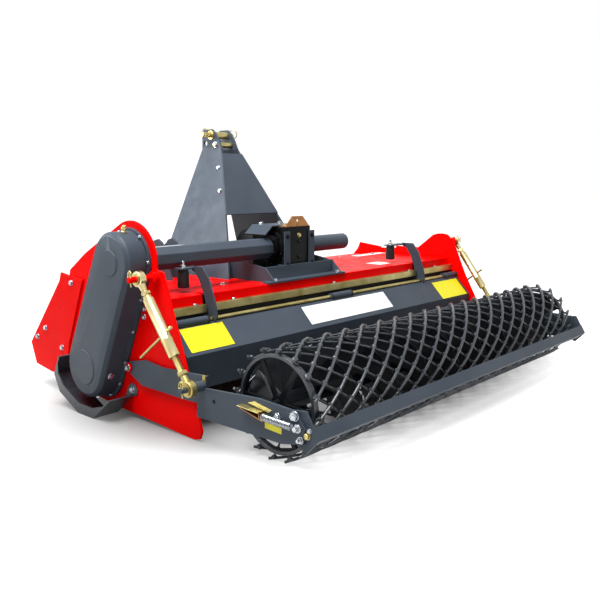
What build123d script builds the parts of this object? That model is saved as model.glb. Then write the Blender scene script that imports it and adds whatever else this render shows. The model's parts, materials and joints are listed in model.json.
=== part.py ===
from build123d import *
from math import acos, atan2, cos, degrees, hypot, pi, radians, sin, sqrt, tan
import os

os.makedirs("parts", exist_ok=True)

# Stone burier for a tractor's three-point linkage, in millimetres.
# +X is to the right as seen from behind, +Y is forward, +Z is up, and the floor is at z = 0.
# Heights and fore-and-aft places are written as (y, z), with y measured from the roller's axle.

# Whole machine
BODY_WIDTH = 2006.0        # over the outer faces of the two side plates
PLATE = 10.0               # side plates, hitch plates and roller arms
ROLLER_Y = -605.0          # roller axle, from the middle of the machine's length
RUN_GAP = 5.0              # between moving sheet metal and its neighbours
SHAFT_FIT = 0.08           # radial clearance of a shaft in its bore
SIDES = (("left", -1), ("right", 1))

OUTER_X = BODY_WIDTH / 2
INNER_X = OUTER_X - PLATE

# Main axes that run across the machine
ROTOR_AT = (873.0, 185.0)
COUNTERSHAFT_AT = (673.0, 598.0)
HOOD_HINGE_AT = (486.0, 379.0)
ARM_PIVOT_AT = (688.0, 202.0)
ROLLER_AT = (0.0, 186.0)
LINK_TOP_AT = (524.0, 553.0)
LINK_FOOT_AT = (268.0, 213.0)
HITCH_X = -190.0           # gearbox and headstock stand left of the middle

# Deck
DECK_SHEET = 6.0
DECK_Z = 467.0
DECK_REAR_Y = 527.0
DECK_FOLD_Y = 1000.0
DECK_NOSE_AT = (1228.0, 440.0)
GUARD_FOOT_AT = (1395.0, 215.0)

# Rotor
ROTOR_REACH = 166.0        # blade tip from the rotor's axis, clear of the floor
ROTOR_TUBE_R = 45.0
ROTOR_STUB_R = 25.0
ROTOR_FLANGE_R = 92.0
ROTOR_FLANGE = 12.0
ROTOR_ROWS = 11
BLADE_WIDTH = 52.0
BLADE_FOOT = 48.0
BLADE = 8.0

# Rear hood
HOOD_SHEET = 5.0
HOOD_SIDE_GAP = 8.0
HINGE_ROD_R = 8.0
SLEEVE_R = 15.0
SLEEVES = ((-985.0, -806.0), (-95.0, 53.0), (848.0, 985.0))
HOOD_ARM = 8.0
HOOD_ARMS = ((-780.0, -820.0), (640.0, 535.0))   # arm plate x, rubber buffer x
BUFFER_Y = 607.0
BUFFER_R = 23.5
BUFFER_LENGTH = 70.0
BUFFER_GAP = 20.0          # buffer to deck with the hood shut

# Roller
ROLLER_HALF = 940.0        # to the outer face of the end rings
MESH_R = 185.8             # over the outer wires
RING_DEPTH = 15.0
RING = 10.0
WIRE_STARTS = 16
WIRE_STEP = 107.0          # along the roller while a wire turns by one start
WIRE_NODES = 9             # steps each side of the middle
OUTER_WIRE = 10.0
INNER_WIRE = 8.0
WIRE_GAP = 1.3
HUB_R = 30.0
ROLLER_STUB_R = 15.0
AUGER_PITCH = 420.0

# Roller arms and adjusting links
ARM_X = OUTER_X + RUN_GAP
ARM_PIVOT_R = 12.0
LINK_X = {"left": 1078.0, "right": 1045.0}   # the left link stands clear of the chain case
LINK_PIN_R = 11.0
LINK_PIN_OUT = 44.0        # pin end, from the middle of a link's eye
FOOT_PIN_R = 10.0
FOOT_PLAY = 4.0            # open end of the adjusting linkage
TUBE_R = 19.0
ROD_R = 11.0
EYE_R = 28.0
EYE = 26.0

# Headstock
MAST_LEAN = 20.6           # side plates lean in, in degrees
MAST_FOLD_Z = 1035.0
MAST_TOP_Z = 1125.0
EAR_OUT = 54.0             # outer face of an ear, from the headstock's middle
TOP_PIN_AT = (1093.0, 1098.0)
TOP_PIN_R = 12.5
FREE_HOLE_AT = (1133.0, 1061.0)   # lower place for the top link's pin
EAR_BOLT_AT = (1062.0, 1053.0)
EAR_BOLT_R = 8.0
LOWER_PIN_AT = (1180.0, 492.0)
LOWER_PIN_R = 14.0
LOWER_X = 412.0            # lower pin's middle, from the headstock's middle
LOWER_GAP = 66.0           # between the two plates of a lower bracket

# Gearbox
GEARBOX_HALF = 95.0
GEARBOX_REAR_Y = 588.0
GEARBOX_FRONT_Y = 800.0
GEARBOX_TOP_Z = 690.0
PTO_R = 17.4
PTO_END_Y = 905.0


def at(y, z):
    """A place measured from the roller's axle, as sketch coordinates of a plane across X."""
    return (ROLLER_Y + y, z)


def panel(points):
    """A face with straight edges, from (y, z) corners, in the sketch that is open."""
    Polygon(*[at(y, z) for y, z in points], align=None)


def bent(points, thickness):
    """Corners of a folded sheet: the given line and its copy one thickness to the right of it."""
    normals = []
    for (y0, z0), (y1, z1) in zip(points, points[1:]):
        run = hypot(y1 - y0, z1 - z0)
        normals.append(((z1 - z0) / run, (y0 - y1) / run))
    other = []
    for i, (y, z) in enumerate(points):
        before = normals[max(i - 1, 0)]
        after = normals[min(i, len(normals) - 1)]
        spread = 1 + before[0] * after[0] + before[1] * after[1]
        other.append((y + thickness * (before[0] + after[0]) / spread,
                      z + thickness * (before[1] + after[1]) / spread))
    return list(points) + other[::-1]


def through(rings):
    """A solid through rings of corners that follow each other, with flat three-sided faces."""
    faces = [rings[0][::-1], rings[-1]]
    for near, far in zip(rings, rings[1:]):
        for i in range(len(near)):
            faces.append((near[i - 1], near[i], far[i]))
            faces.append((near[i - 1], far[i], far[i - 1]))
    return Solid(Shell([Face(Wire.make_polygon(corners)) for corners in faces]))


def along_x(x, yz):
    """A plane across X at x, with its origin on a cross axis given as (y, z)."""
    return Plane(origin=(x, ROLLER_Y + yz[0], yz[1]), x_dir=(0, 1, 0), z_dir=(1, 0, 0))


# Side plates, with the pins that carry the roller arms and the adjusting links
CASE_TOP_R = 147.0
CASE_NOSE = (984.0, 606.0)
nose_run = hypot(CASE_NOSE[0] - COUNTERSHAFT_AT[0], CASE_NOSE[1] - COUNTERSHAFT_AT[1])
nose_turn = acos(CASE_TOP_R / nose_run) + atan2(CASE_NOSE[1] - COUNTERSHAFT_AT[1],
                                                CASE_NOSE[0] - COUNTERSHAFT_AT[0])
shoulder_turn = radians(188)


def round_top(turn):
    """A point on the left plate's round top, at an angle from straight forward."""
    return (COUNTERSHAFT_AT[0] + CASE_TOP_R * cos(turn), COUNTERSHAFT_AT[1] + CASE_TOP_R * sin(turn))


PLATE_FOOT = [(1101, 532), (1120, 470), (1273, 120), (1273, 76), (827, 25), (345, 0), (312, 8), (300, 38)]
plate_tops = {
    "left": [round_top(shoulder_turn), round_top(radians(90)), round_top(nose_turn), CASE_NOSE],
    "right": [(545, 592), (593, 597), (640, 585), (745, 502), (960, 495)],
}
PLATE_REAR = {"left": [(492, 571)], "right": [(305, 160), (347, 235), (430, 385), (506, 556)]}
for name, side in SIDES:
    with BuildPart() as side_plate:
        with BuildSketch(Plane.YZ.offset(side * INNER_X)):
            with BuildLine():
                top = plate_tops[name]
                if name == "left":
                    ThreePointArc(*[at(*p) for p in top[:3]])
                    Polyline(*[at(*p) for p in top[2:] + PLATE_FOOT + PLATE_REAR[name] + top[:1]])
                else:
                    ThreePointArc(*[at(*p) for p in top[:3]])
                    foot = [(1101, 490)] + PLATE_FOOT[1:]
                    Polyline(*[at(*p) for p in top[2:] + foot + PLATE_REAR[name] + top[:1]])
            make_face()
        extrude(amount=side * PLATE)
        with BuildSketch(along_x(side * INNER_X, ROTOR_AT)):
            Circle(ROTOR_STUB_R + SHAFT_FIT)
        extrude(amount=side * PLATE, mode=Mode.SUBTRACT)
        with BuildSketch(along_x(side * OUTER_X, LINK_TOP_AT)):
            RegularPolygon(2 * LINK_PIN_R, 12)
        extrude(amount=side * 22)
        with BuildSketch(along_x(side * OUTER_X, LINK_TOP_AT)):
            Circle(LINK_PIN_R)
        extrude(amount=side * (LINK_X[name] + LINK_PIN_OUT - OUTER_X))
        with BuildSketch(along_x(side * OUTER_X, ARM_PIVOT_AT)):
            Circle(ARM_PIVOT_R)
        extrude(amount=side * (RUN_GAP + PLATE + 1))
        with BuildSketch(along_x(side * (ARM_X + PLATE + 1), ARM_PIVOT_AT)):
            RegularPolygon(19, 6)
        extrude(amount=side * 7)
    side_plate.part.label = "side_plate_" + name
    export_step(side_plate.part, "parts/side_plate_" + name + ".step")

    # Front extension plate, bolted over the side plate's front edge
    with BuildPart() as front_plate:
        with BuildSketch(Plane.YZ.offset(side * OUTER_X)):
            panel([(999, 499), (1160, 517), (1176, 480), (1443, 185), (1407, 93), (1273, 76),
                   (1150, 100), (1128, 215)])
        extrude(amount=side * 8)
    front_plate.part.label = "front_plate_" + name
    export_step(front_plate.part, "parts/front_plate_" + name + ".step")

    # Skid shoe: a folded strip that wraps the case's foot, with an upright rim and a bolted tab
    SKID_WIDTH = 110.0
    with BuildPart() as skid:
        run = [(1030, 205), (1072, 128), (1036, 60), (905, 0), (800, 0), (690, 88)]
        with BuildSketch(Plane.YZ.offset(side * OUTER_X)):
            panel(bent(run[::-1], -6))
        extrude(amount=side * SKID_WIDTH)
        with BuildSketch(Plane.YZ.offset(side * (OUTER_X + SKID_WIDTH - 5))):
            panel([(1040, 186), (1072, 128), (1036, 60), (905, 0), (800, 0), (735, 52), (735, 60), (808, 40),
                   (898, 40), (1010, 92), (1040, 132)])
        extrude(amount=side * 5)
        with BuildSketch(Plane.YZ.offset(side * OUTER_X)):
            panel([(735, 52), (690, 88), (668, 92), (660, 112), (672, 134), (696, 138), (716, 122), (750, 60)])
        extrude(amount=side * 4)
    skid.part.label = "skid_" + name
    export_step(skid.part, "parts/skid_" + name + ".step")

# Deck: one sheet over the rotor, notched where the hood's arms pass
deck_top = [(DECK_REAR_Y, 384), (DECK_REAR_Y + 3, DECK_Z), (DECK_FOLD_Y, DECK_Z), DECK_NOSE_AT]
with BuildPart() as deck:
    with BuildSketch(Plane.YZ.offset(-INNER_X)):
        panel(bent(deck_top, DECK_SHEET))
    extrude(amount=2 * INNER_X)
    for arm_x, _ in HOOD_ARMS:
        with BuildSketch(Plane.XY.offset(375)):
            with Locations((arm_x, ROLLER_Y + DECK_REAR_Y + 20)):
                Rectangle(HOOD_ARM + 16, 60)
        extrude(amount=100, mode=Mode.SUBTRACT)
deck.part.label = "deck"
export_step(deck.part, "parts/deck.step")

# Front guard: the sheet that closes the front, with tabs bolted inside the front plates
with BuildPart() as front_guard:
    with BuildSketch(Plane.YZ.offset(-INNER_X)):
        panel(bent([(DECK_NOSE_AT[0] + 3.5, DECK_NOSE_AT[1] - 4.7), GUARD_FOOT_AT], 4))
    extrude(amount=2 * INNER_X)
    for _, side in SIDES:
        with BuildSketch(Plane.YZ.offset(side * (INNER_X - 5))):
            panel([(1284, 352), (1395, 215), (1392, 160), (1284, 210)])
        extrude(amount=side * (PLATE + 5))
front_guard.part.label = "front_guard"
export_step(front_guard.part, "parts/front_guard.step")

# Sealing strip along the deck's rear edge, in lengths between the hood's arms
strip_ends = [-INNER_X]
for arm_x, _ in HOOD_ARMS:
    strip_ends += [arm_x - HOOD_ARM / 2 - 8, arm_x + HOOD_ARM / 2 + 8]
strip_ends += [INNER_X]
with BuildPart() as sealing_strip:
    for start, end in zip(strip_ends[::2], strip_ends[1::2]):
        with BuildSketch(Plane.YZ.offset(start)):
            panel(bent([(DECK_REAR_Y + 1.4, 431), (507, 431), (507, 401), (516, 401)], -3))
        extrude(amount=end - start)
sealing_strip.part.label = "sealing_strip"
export_step(sealing_strip.part, "parts/sealing_strip.step")

with BuildPart() as hinge_rod:
    with BuildSketch(along_x(-INNER_X, HOOD_HINGE_AT)):
        Circle(HINGE_ROD_R)
    extrude(amount=2 * INNER_X)
hinge_rod.part.label = "hinge_rod"
export_step(hinge_rod.part, "parts/hinge_rod.step")

# Chain case on the left plate: a bolted flange and a deep housing with two pressed discs
CASE_FLANGE = 12.0
CASE_OUT = 1097.0
CASE_ENDS = ((COUNTERSHAFT_AT, 122.0, 110.0, 47.0), (ROTOR_AT, 135.0, 119.0, 68.0))
with BuildPart() as chain_case:
    for start, depth, column in ((OUTER_X, CASE_FLANGE, 1), (OUTER_X + CASE_FLANGE, CASE_OUT - OUTER_X - CASE_FLANGE, 2)):
        with BuildSketch(Plane.YZ.offset(-start)):
            for end in CASE_ENDS:
                with Locations(at(*end[0])):
                    Circle(end[column])
            make_hull()
        extrude(amount=-depth)
    rim = chain_case.edges().filter_by_position(Axis.X, -CASE_OUT - 0.1, -CASE_OUT + 0.1)
    chamfer(rim, 14)
    for end in CASE_ENDS:
        with BuildSketch(along_x(-CASE_OUT, end[0])):
            RegularPolygon(end[3], 24)
        extrude(amount=-3)
chain_case.part.label = "chain_case"
export_step(chain_case.part, "parts/chain_case.step")

# Drive line: eight-sided tube to the case on the left, short round tube on the free side
TUBE_FLATS = 86.0
with BuildPart() as drive_tube:
    with BuildSketch(along_x(-INNER_X, COUNTERSHAFT_AT)):
        RegularPolygon(TUBE_FLATS / 2, 8, major_radius=False, rotation=22.5)
    extrude(amount=INNER_X + HITCH_X - GEARBOX_HALF - 18)
drive_tube.part.label = "drive_tube"
export_step(drive_tube.part, "parts/drive_tube.step")

FREE_TUBE_R = 37.0
with BuildPart() as free_side_tube:
    with BuildSketch(along_x(HITCH_X + GEARBOX_HALF + 18, COUNTERSHAFT_AT)):
        Circle(FREE_TUBE_R)
    extrude(amount=300)
free_side_tube.part.label = "free_side_tube"
export_step(free_side_tube.part, "parts/free_side_tube.step")

# Gearbox: cast housing with round output flanges and an input nose
PAD_Z = DECK_Z + 8
NOSE_R = 52.0
with BuildPart() as gearbox:
    with BuildSketch(Plane.XY.offset(PAD_Z)):
        with Locations((HITCH_X, ROLLER_Y + 692)):
            Rectangle(170, 176)
    extrude(amount=50)
    with BuildSketch(Plane.XY.offset(PAD_Z + 42)) as casting:
        with Locations((HITCH_X, ROLLER_Y + (GEARBOX_REAR_Y + GEARBOX_FRONT_Y) / 2)):
            Rectangle(2 * GEARBOX_HALF - 10, GEARBOX_FRONT_Y - GEARBOX_REAR_Y)
        chamfer(casting.vertices(), 16)
    extrude(amount=GEARBOX_TOP_Z - PAD_Z - 42)
    for step, radius in ((GEARBOX_HALF, 78), (GEARBOX_HALF + 18, 62)):
        with BuildSketch(along_x(HITCH_X - step, COUNTERSHAFT_AT)):
            RegularPolygon(radius, 24)
        extrude(amount=2 * step)
    with BuildSketch(Plane.XZ.offset(-(ROLLER_Y + GEARBOX_FRONT_Y - 10))):
        with Locations((HITCH_X, COUNTERSHAFT_AT[1])):
            RegularPolygon(NOSE_R, 24)
    extrude(amount=-26)
    with BuildSketch(Plane.XZ.offset(-(ROLLER_Y + GEARBOX_FRONT_Y - 20))):
        with Locations((HITCH_X, COUNTERSHAFT_AT[1])):
            Circle(PTO_R + SHAFT_FIT)
    extrude(amount=-60, mode=Mode.SUBTRACT)
gearbox.part.label = "gearbox"
export_step(gearbox.part, "parts/gearbox.step")

# Input shaft with six splines
with BuildPart() as pto_shaft:
    with BuildSketch(Plane.XZ.offset(-(ROLLER_Y + GEARBOX_FRONT_Y - 15))):
        with Locations((HITCH_X, COUNTERSHAFT_AT[1])):
            Circle(PTO_R)
    extrude(amount=-(PTO_END_Y - GEARBOX_FRONT_Y + 15))
    with BuildSketch(Plane.XZ.offset(-(ROLLER_Y + GEARBOX_FRONT_Y + 30))):
        with Locations((HITCH_X, COUNTERSHAFT_AT[1])):
            with PolarLocations(PTO_R, 6):
                Rectangle(5.4, 8.6)
    extrude(amount=-80, mode=Mode.SUBTRACT)
pto_shaft.part.label = "pto_shaft"
export_step(pto_shaft.part, "parts/pto_shaft.step")

with BuildPart() as pto_guard:
    with BuildSketch(Plane.XZ.offset(-(ROLLER_Y + GEARBOX_FRONT_Y + 3))):
        with Locations((HITCH_X, COUNTERSHAFT_AT[1])):
            RegularPolygon(66, 24)
            RegularPolygon(NOSE_R, 24, mode=Mode.SUBTRACT)
    extrude(amount=-8)
    with BuildSketch(Plane.XZ.offset(-(ROLLER_Y + GEARBOX_FRONT_Y + 3))):
        with Locations((HITCH_X, COUNTERSHAFT_AT[1])):
            RegularPolygon(66, 24)
            RegularPolygon(62, 24, mode=Mode.SUBTRACT)
    extrude(amount=-(PTO_END_Y - GEARBOX_FRONT_Y + 10))
pto_guard.part.label = "pto_guard"
export_step(pto_guard.part, "parts/pto_guard.step")

# Gearbox brackets: two folded uprights on the gearbox's rear face
with BuildPart() as gearbox_brackets:
    for _, side in SIDES:
        with BuildSketch(Plane.XY.offset(507)):
            with Locations((HITCH_X + side * 79, ROLLER_Y + GEARBOX_REAR_Y - 4)):
                Rectangle(34, 8)
            with Locations((HITCH_X + side * 93, ROLLER_Y + GEARBOX_REAR_Y + 14)):
                Rectangle(6, 44)
        extrude(amount=22)
        with BuildSketch(Plane.XY.offset(507)):
            with Locations((HITCH_X + side * 79, ROLLER_Y + GEARBOX_REAR_Y - 4)):
                Rectangle(34, 8)
        extrude(amount=164)
gearbox_brackets.part.label = "gearbox_brackets"
export_step(gearbox_brackets.part, "parts/gearbox_brackets.step")

# Console: base plate, two side rails and a cross channel that carry the gearbox
RAIL_OUT = 222.0
with BuildPart() as console:
    with BuildSketch(Plane.XY.offset(DECK_Z)):
        with Locations((HITCH_X, ROLLER_Y + 728)):
            Rectangle(2 * RAIL_OUT, 400)
    extrude(amount=PAD_Z - DECK_Z)
    with BuildSketch(Plane.XY.offset(DECK_Z)) as wings:
        with Locations((HITCH_X, ROLLER_Y + 545)):
            Rectangle(2 * RAIL_OUT + 70, 46)
        chamfer(wings.vertices(), 10)
    extrude(amount=PAD_Z - DECK_Z)
    for _, side in SIDES:
        with BuildSketch(Plane.YZ.offset(HITCH_X + side * RAIL_OUT)):
            panel([(528, DECK_Z), (528, 480), (575, 527), (772, 557), (910, 529), (928, DECK_Z)])
        extrude(amount=-side * 8)
    with BuildSketch(Plane.YZ.offset(HITCH_X - RAIL_OUT + 4)):
        panel([(572, DECK_Z + 4), (580, DECK_Z + 4), (580, 530), (572, 530)])
    extrude(amount=2 * RAIL_OUT - 8)
console.part.label = "console"
export_step(console.part, "parts/console.step")

# Hose bracket: a drilled upright tongue on the gearbox's rear edge
with BuildPart() as hose_bracket:
    with BuildSketch(Plane.XZ.offset(-(ROLLER_Y + 600))):
        with BuildLine():
            Polyline((HITCH_X - 78, GEARBOX_TOP_Z), (HITCH_X - 34, 735), (HITCH_X + 34, 735),
                     (HITCH_X + 78, GEARBOX_TOP_Z), close=True)
        make_face()
        with Locations((HITCH_X, 716)):
            RegularPolygon(6.5, 8, mode=Mode.SUBTRACT)
    extrude(amount=5)
    with BuildSketch(Plane.XY.offset(GEARBOX_TOP_Z)):
        with Locations((HITCH_X, ROLLER_Y + 617)):
            Rectangle(150, 36)
    extrude(amount=5)
hose_bracket.part.label = "hose_bracket"
export_step(hose_bracket.part, "parts/hose_bracket.step")

# Stay plate on the gearbox, folded down on its left
with BuildPart() as hitch_stay:
    with BuildSketch(Plane.XZ.offset(-(ROLLER_Y + 640))):
        with BuildLine():
            Polyline((HITCH_X + 62, GEARBOX_TOP_Z), (HITCH_X + 62, GEARBOX_TOP_Z + 7),
                     (HITCH_X - 112, GEARBOX_TOP_Z + 7), (HITCH_X - 158, GEARBOX_TOP_Z - 30),
                     (HITCH_X - 153, GEARBOX_TOP_Z - 36), (HITCH_X - 109, GEARBOX_TOP_Z), close=True)
        make_face()
    extrude(amount=-125)
hitch_stay.part.label = "hitch_stay"
export_step(hitch_stay.part, "parts/hitch_stay.step")

# Headstock plates: each leans in from the deck and ends in an upright ear
lean = radians(MAST_LEAN)
under_deck = [(500, DECK_Z), (DECK_FOLD_Y, DECK_Z), DECK_NOSE_AT, (1300, 400), (1300, 300), (500, 300)]
for name, side in SIDES:
    with BuildPart() as hitch_plate:
        leaning = Plane(origin=(HITCH_X + side * EAR_OUT, ROLLER_Y, MAST_FOLD_Z), x_dir=(0, 1, 0),
                        z_dir=(side * cos(lean), 0, sin(lean)))
        with BuildSketch(leaning):
            with BuildLine():
                corners = [(735, 430), (830, 640), (1025, MAST_FOLD_Z), (1157, MAST_FOLD_Z), (1213, 612), (1240, 420)]
                Polyline(*[(y, side * (z - MAST_FOLD_Z) / cos(lean)) for y, z in corners], close=True)
            make_face()
        extrude(amount=-PLATE)
        with BuildSketch(Plane.YZ.offset(HITCH_X + side * EAR_OUT)):
            panel([(1022, MAST_FOLD_Z - 3), (1044, 1077), (1068, 1109), (1088, MAST_TOP_Z), (1142, MAST_TOP_Z),
                   (1156, 1105), (1157, MAST_FOLD_Z - 3)])
        extrude(amount=-side * PLATE)
        with BuildSketch(Plane.YZ.offset(-900)):
            panel(under_deck)
        extrude(amount=1800, mode=Mode.SUBTRACT)
        for place in (TOP_PIN_AT, FREE_HOLE_AT):
            with BuildSketch(along_x(HITCH_X + side * (EAR_OUT + 5), place)):
                Circle(TOP_PIN_R + SHAFT_FIT)
            extrude(amount=-side * (PLATE + 10), mode=Mode.SUBTRACT)
        with BuildSketch(along_x(HITCH_X + side * (EAR_OUT + 5), EAR_BOLT_AT)):
            RegularPolygon(EAR_BOLT_R + SHAFT_FIT, 12)
        extrude(amount=-side * (PLATE + 10), mode=Mode.SUBTRACT)
    hitch_plate.part.label = "hitch_plate_" + name
    export_step(hitch_plate.part, "parts/hitch_plate_" + name + ".step")

# Cover between the headstock plates' rear edges
rise = hypot(1025 - 830, MAST_FOLD_Z - 640)
cover_up = (0, (1025 - 830) / rise, (MAST_FOLD_Z - 640) / rise)
cover_plane = Plane(origin=(HITCH_X, ROLLER_Y + 830, 640), x_dir=(1, 0, 0),
                    z_dir=(0, -cover_up[2], cover_up[1]))


def mast_half(z):
    """Half width of the headstock over its plates at height z."""
    return EAR_OUT + (MAST_FOLD_Z - z) * tan(lean)


with BuildPart() as hitch_rear_cover:
    with BuildSketch(cover_plane):
        low, high = 735, 1010
        v_low, v_high = (low - 640) / cover_up[2], (high - 640) / cover_up[2]
        with BuildLine():
            Polyline((-mast_half(low), v_low), (mast_half(low), v_low), (mast_half(high), v_high),
                     (-mast_half(high), v_high), close=True)
        make_face()
    extrude(amount=6)
hitch_rear_cover.part.label = "hitch_rear_cover"
export_step(hitch_rear_cover.part, "parts/hitch_rear_cover.step")

with BuildPart() as top_link_pins:
    with BuildSketch(along_x(HITCH_X - EAR_OUT - 56, TOP_PIN_AT)):
        Circle(TOP_PIN_R)
    extrude(amount=2 * EAR_OUT + 80)
    with BuildSketch(along_x(HITCH_X - EAR_OUT - 12, EAR_BOLT_AT)):
        RegularPolygon(EAR_BOLT_R, 12)
    extrude(amount=2 * EAR_OUT + 24)
top_link_pins.part.label = "top_link_pins"
export_step(top_link_pins.part, "parts/top_link_pins.step")

# Lower linkage brackets: a pair of upright plates on each side, with a pin through them
with BuildPart() as lower_brackets:
    for _, side in SIDES:
        for step in (-LOWER_GAP / 2 - PLATE, LOWER_GAP / 2):
            with BuildSketch(Plane.YZ.offset(HITCH_X + side * LOWER_X + step)):
                panel([(905, DECK_Z), (955, 600), (966, 626), (992, 640), (1020, 632), (1032, 618), (1190, 528),
                       (1210, 513), (1218, 492), (1213, 474), (1200, 460), (1196, 444.5), (DECK_FOLD_Y, DECK_Z)])
                with Locations(at(*LOWER_PIN_AT)):
                    RegularPolygon(LOWER_PIN_R + SHAFT_FIT, 24, major_radius=False, mode=Mode.SUBTRACT)
            extrude(amount=PLATE)
lower_brackets.part.label = "lower_brackets"
export_step(lower_brackets.part, "parts/lower_brackets.step")

with BuildPart() as lower_pins:
    for _, side in SIDES:
        with BuildSketch(along_x(HITCH_X + side * LOWER_X - LOWER_GAP / 2 - PLATE - 14, LOWER_PIN_AT)):
            Circle(LOWER_PIN_R)
        extrude(amount=LOWER_GAP + 2 * PLATE + 28)
lower_pins.part.label = "lower_pins"
export_step(lower_pins.part, "parts/lower_pins.step")

# Rotor bearing outside the right plate
with BuildPart() as rotor_bearing:
    for radius, depth in ((82, 12), (56, 42)):
        with BuildSketch(along_x(OUTER_X, ROTOR_AT)):
            RegularPolygon(radius, 24)
        extrude(amount=depth)
    with BuildSketch(along_x(OUTER_X, ROTOR_AT)):
        Circle(ROTOR_STUB_R + SHAFT_FIT)
    extrude(amount=30, mode=Mode.SUBTRACT)
rotor_bearing.part.label = "rotor_bearing"
export_step(rotor_bearing.part, "parts/rotor_bearing.step")

# Selection grid behind the rotor: a cross bar and spring tines that stones can't pass
TINES = 36
TINE = 12.0
GRID_BAR_AT = (640.0, 420.0)
tine_pitch = 2 * (INNER_X - 30) / (TINES - 1)
with BuildPart() as selection_grid:
    with BuildSketch(along_x(-INNER_X, GRID_BAR_AT)):
        Rectangle(50, 50)
    extrude(amount=2 * INNER_X)
    for i in range(TINES):
        with BuildSketch(Plane.YZ.offset(-INNER_X + 30 + i * tine_pitch - TINE / 2)):
            panel(bent([(634, 400), (647, 250), (594, 62)], -TINE))
        extrude(amount=TINE)
selection_grid.part.label = "selection_grid"
export_step(selection_grid.part, "parts/selection_grid.step")

# Rotor: tube with stub shafts and flanges, and hoe blades bolted to the flanges
rotor_half = INNER_X - 14
row_pitch = 2 * (rotor_half - 45) / (ROTOR_ROWS - 1)
with BuildPart() as rotor_shaft:
    with BuildSketch(along_x(-rotor_half, ROTOR_AT)):
        RegularPolygon(ROTOR_TUBE_R, 12)
    extrude(amount=2 * rotor_half)
    with BuildSketch(along_x(-OUTER_X + 2, ROTOR_AT)):
        Circle(ROTOR_STUB_R)
    extrude(amount=2 * OUTER_X + 24)
    for i in range(ROTOR_ROWS):
        with BuildSketch(along_x(-rotor_half + 45 + i * row_pitch - ROTOR_FLANGE / 2, ROTOR_AT)):
            RegularPolygon(ROTOR_FLANGE_R, 12)
        extrude(amount=ROTOR_FLANGE)
rotor_shaft.part.label = "rotor_shaft"
export_step(rotor_shaft.part, "parts/rotor_shaft.step")

with BuildPart() as rotor_blades:
    for i in range(ROTOR_ROWS):
        for k in range(4):
            hand = 1 if k % 2 else -1
            if (i == 0 and hand < 0) or (i == ROTOR_ROWS - 1 and hand > 0):
                continue
            turn = 90.0 * k + 31.0 * i
            face_x = -rotor_half + 45 + i * row_pitch + hand * ROTOR_FLANGE / 2
            spoke = Plane(origin=(face_x, ROLLER_Y + ROTOR_AT[0], ROTOR_AT[1]),
                          x_dir=(0, cos(radians(turn)), sin(radians(turn))), z_dir=(1, 0, 0))
            with BuildSketch(spoke):
                with BuildLine():
                    Polyline((60, -22), (118, -26), (ROTOR_REACH - 8, -14), (ROTOR_REACH - 1, 8),
                             (122, 20), (60, 22), close=True)
                make_face()
            extrude(amount=hand * BLADE)
            with BuildSketch(spoke):
                with BuildLine():
                    Polyline((ROTOR_REACH - 16, -10), (ROTOR_REACH - 8, -14), (ROTOR_REACH - 1, 8),
                             (ROTOR_REACH - 9, 12), close=True)
                make_face()
            extrude(amount=hand * BLADE_FOOT)
rotor_blades.part.label = "rotor_blades"
export_step(rotor_blades.part, "parts/rotor_blades.step")

# Rear hood: folded sheet on hinge sleeves, with two arms that rest rubber buffers on the deck
HOOD_HALF = INNER_X - HOOD_SIDE_GAP
buffer_top = DECK_Z + BUFFER_GAP + BUFFER_LENGTH
with BuildPart() as hood:
    with BuildSketch(Plane.YZ.offset(-HOOD_HALF)):
        panel(bent([(478, 370.5), (392, 280), (395, 155), (412, 146)], -HOOD_SHEET))
    extrude(amount=2 * HOOD_HALF)
    for _, side in SIDES:
        with BuildSketch(Plane.YZ.offset(side * HOOD_HALF)):
            panel([(478, 370.5), (392, 280), (395, 155), (428, 160), (436, 262), (484, 350)])
        extrude(amount=-side * HOOD_SHEET)
    for start, end in SLEEVES:
        with BuildSketch(along_x(start, HOOD_HINGE_AT)):
            RegularPolygon(SLEEVE_R, 20)
        extrude(amount=end - start)
    for arm_x, buffer_x in HOOD_ARMS:
        with BuildSketch(Plane.YZ.offset(arm_x - HOOD_ARM / 2)):
            panel([(476, 352), (474, 366), (462, 385), (466, 420), (502, 523), (539, 567), (607, 567),
                   (607, buffer_top), (575, 540), (548, 500), (528, 450), (515, 400), (505, 368), (496, 350)])
        extrude(amount=HOOD_ARM)
        with BuildSketch(Plane.XY.offset(buffer_top)):
            with Locations(((arm_x + HOOD_ARM / 2 + buffer_x - 25) / 2, ROLLER_Y + BUFFER_Y)):
                Rectangle(arm_x + HOOD_ARM / 2 - buffer_x + 25, 44)
        extrude(amount=6)
    with BuildSketch(along_x(-HOOD_HALF, HOOD_HINGE_AT)):
        RegularPolygon(HINGE_ROD_R + 0.15, 20, major_radius=False)
    extrude(amount=2 * HOOD_HALF, mode=Mode.SUBTRACT)
hood.part.label = "hood"
export_step(hood.part, "parts/hood.step")

with BuildPart() as hood_buffers:
    for _, buffer_x in HOOD_ARMS:
        with BuildSketch(Plane.XY.offset(buffer_top - BUFFER_LENGTH)):
            with Locations((buffer_x, ROLLER_Y + BUFFER_Y)):
                RegularPolygon(BUFFER_R, 16)
        extrude(amount=BUFFER_LENGTH)
hood_buffers.part.label = "hood_buffers"
export_step(hood_buffers.part, "parts/hood_buffers.step")

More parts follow.
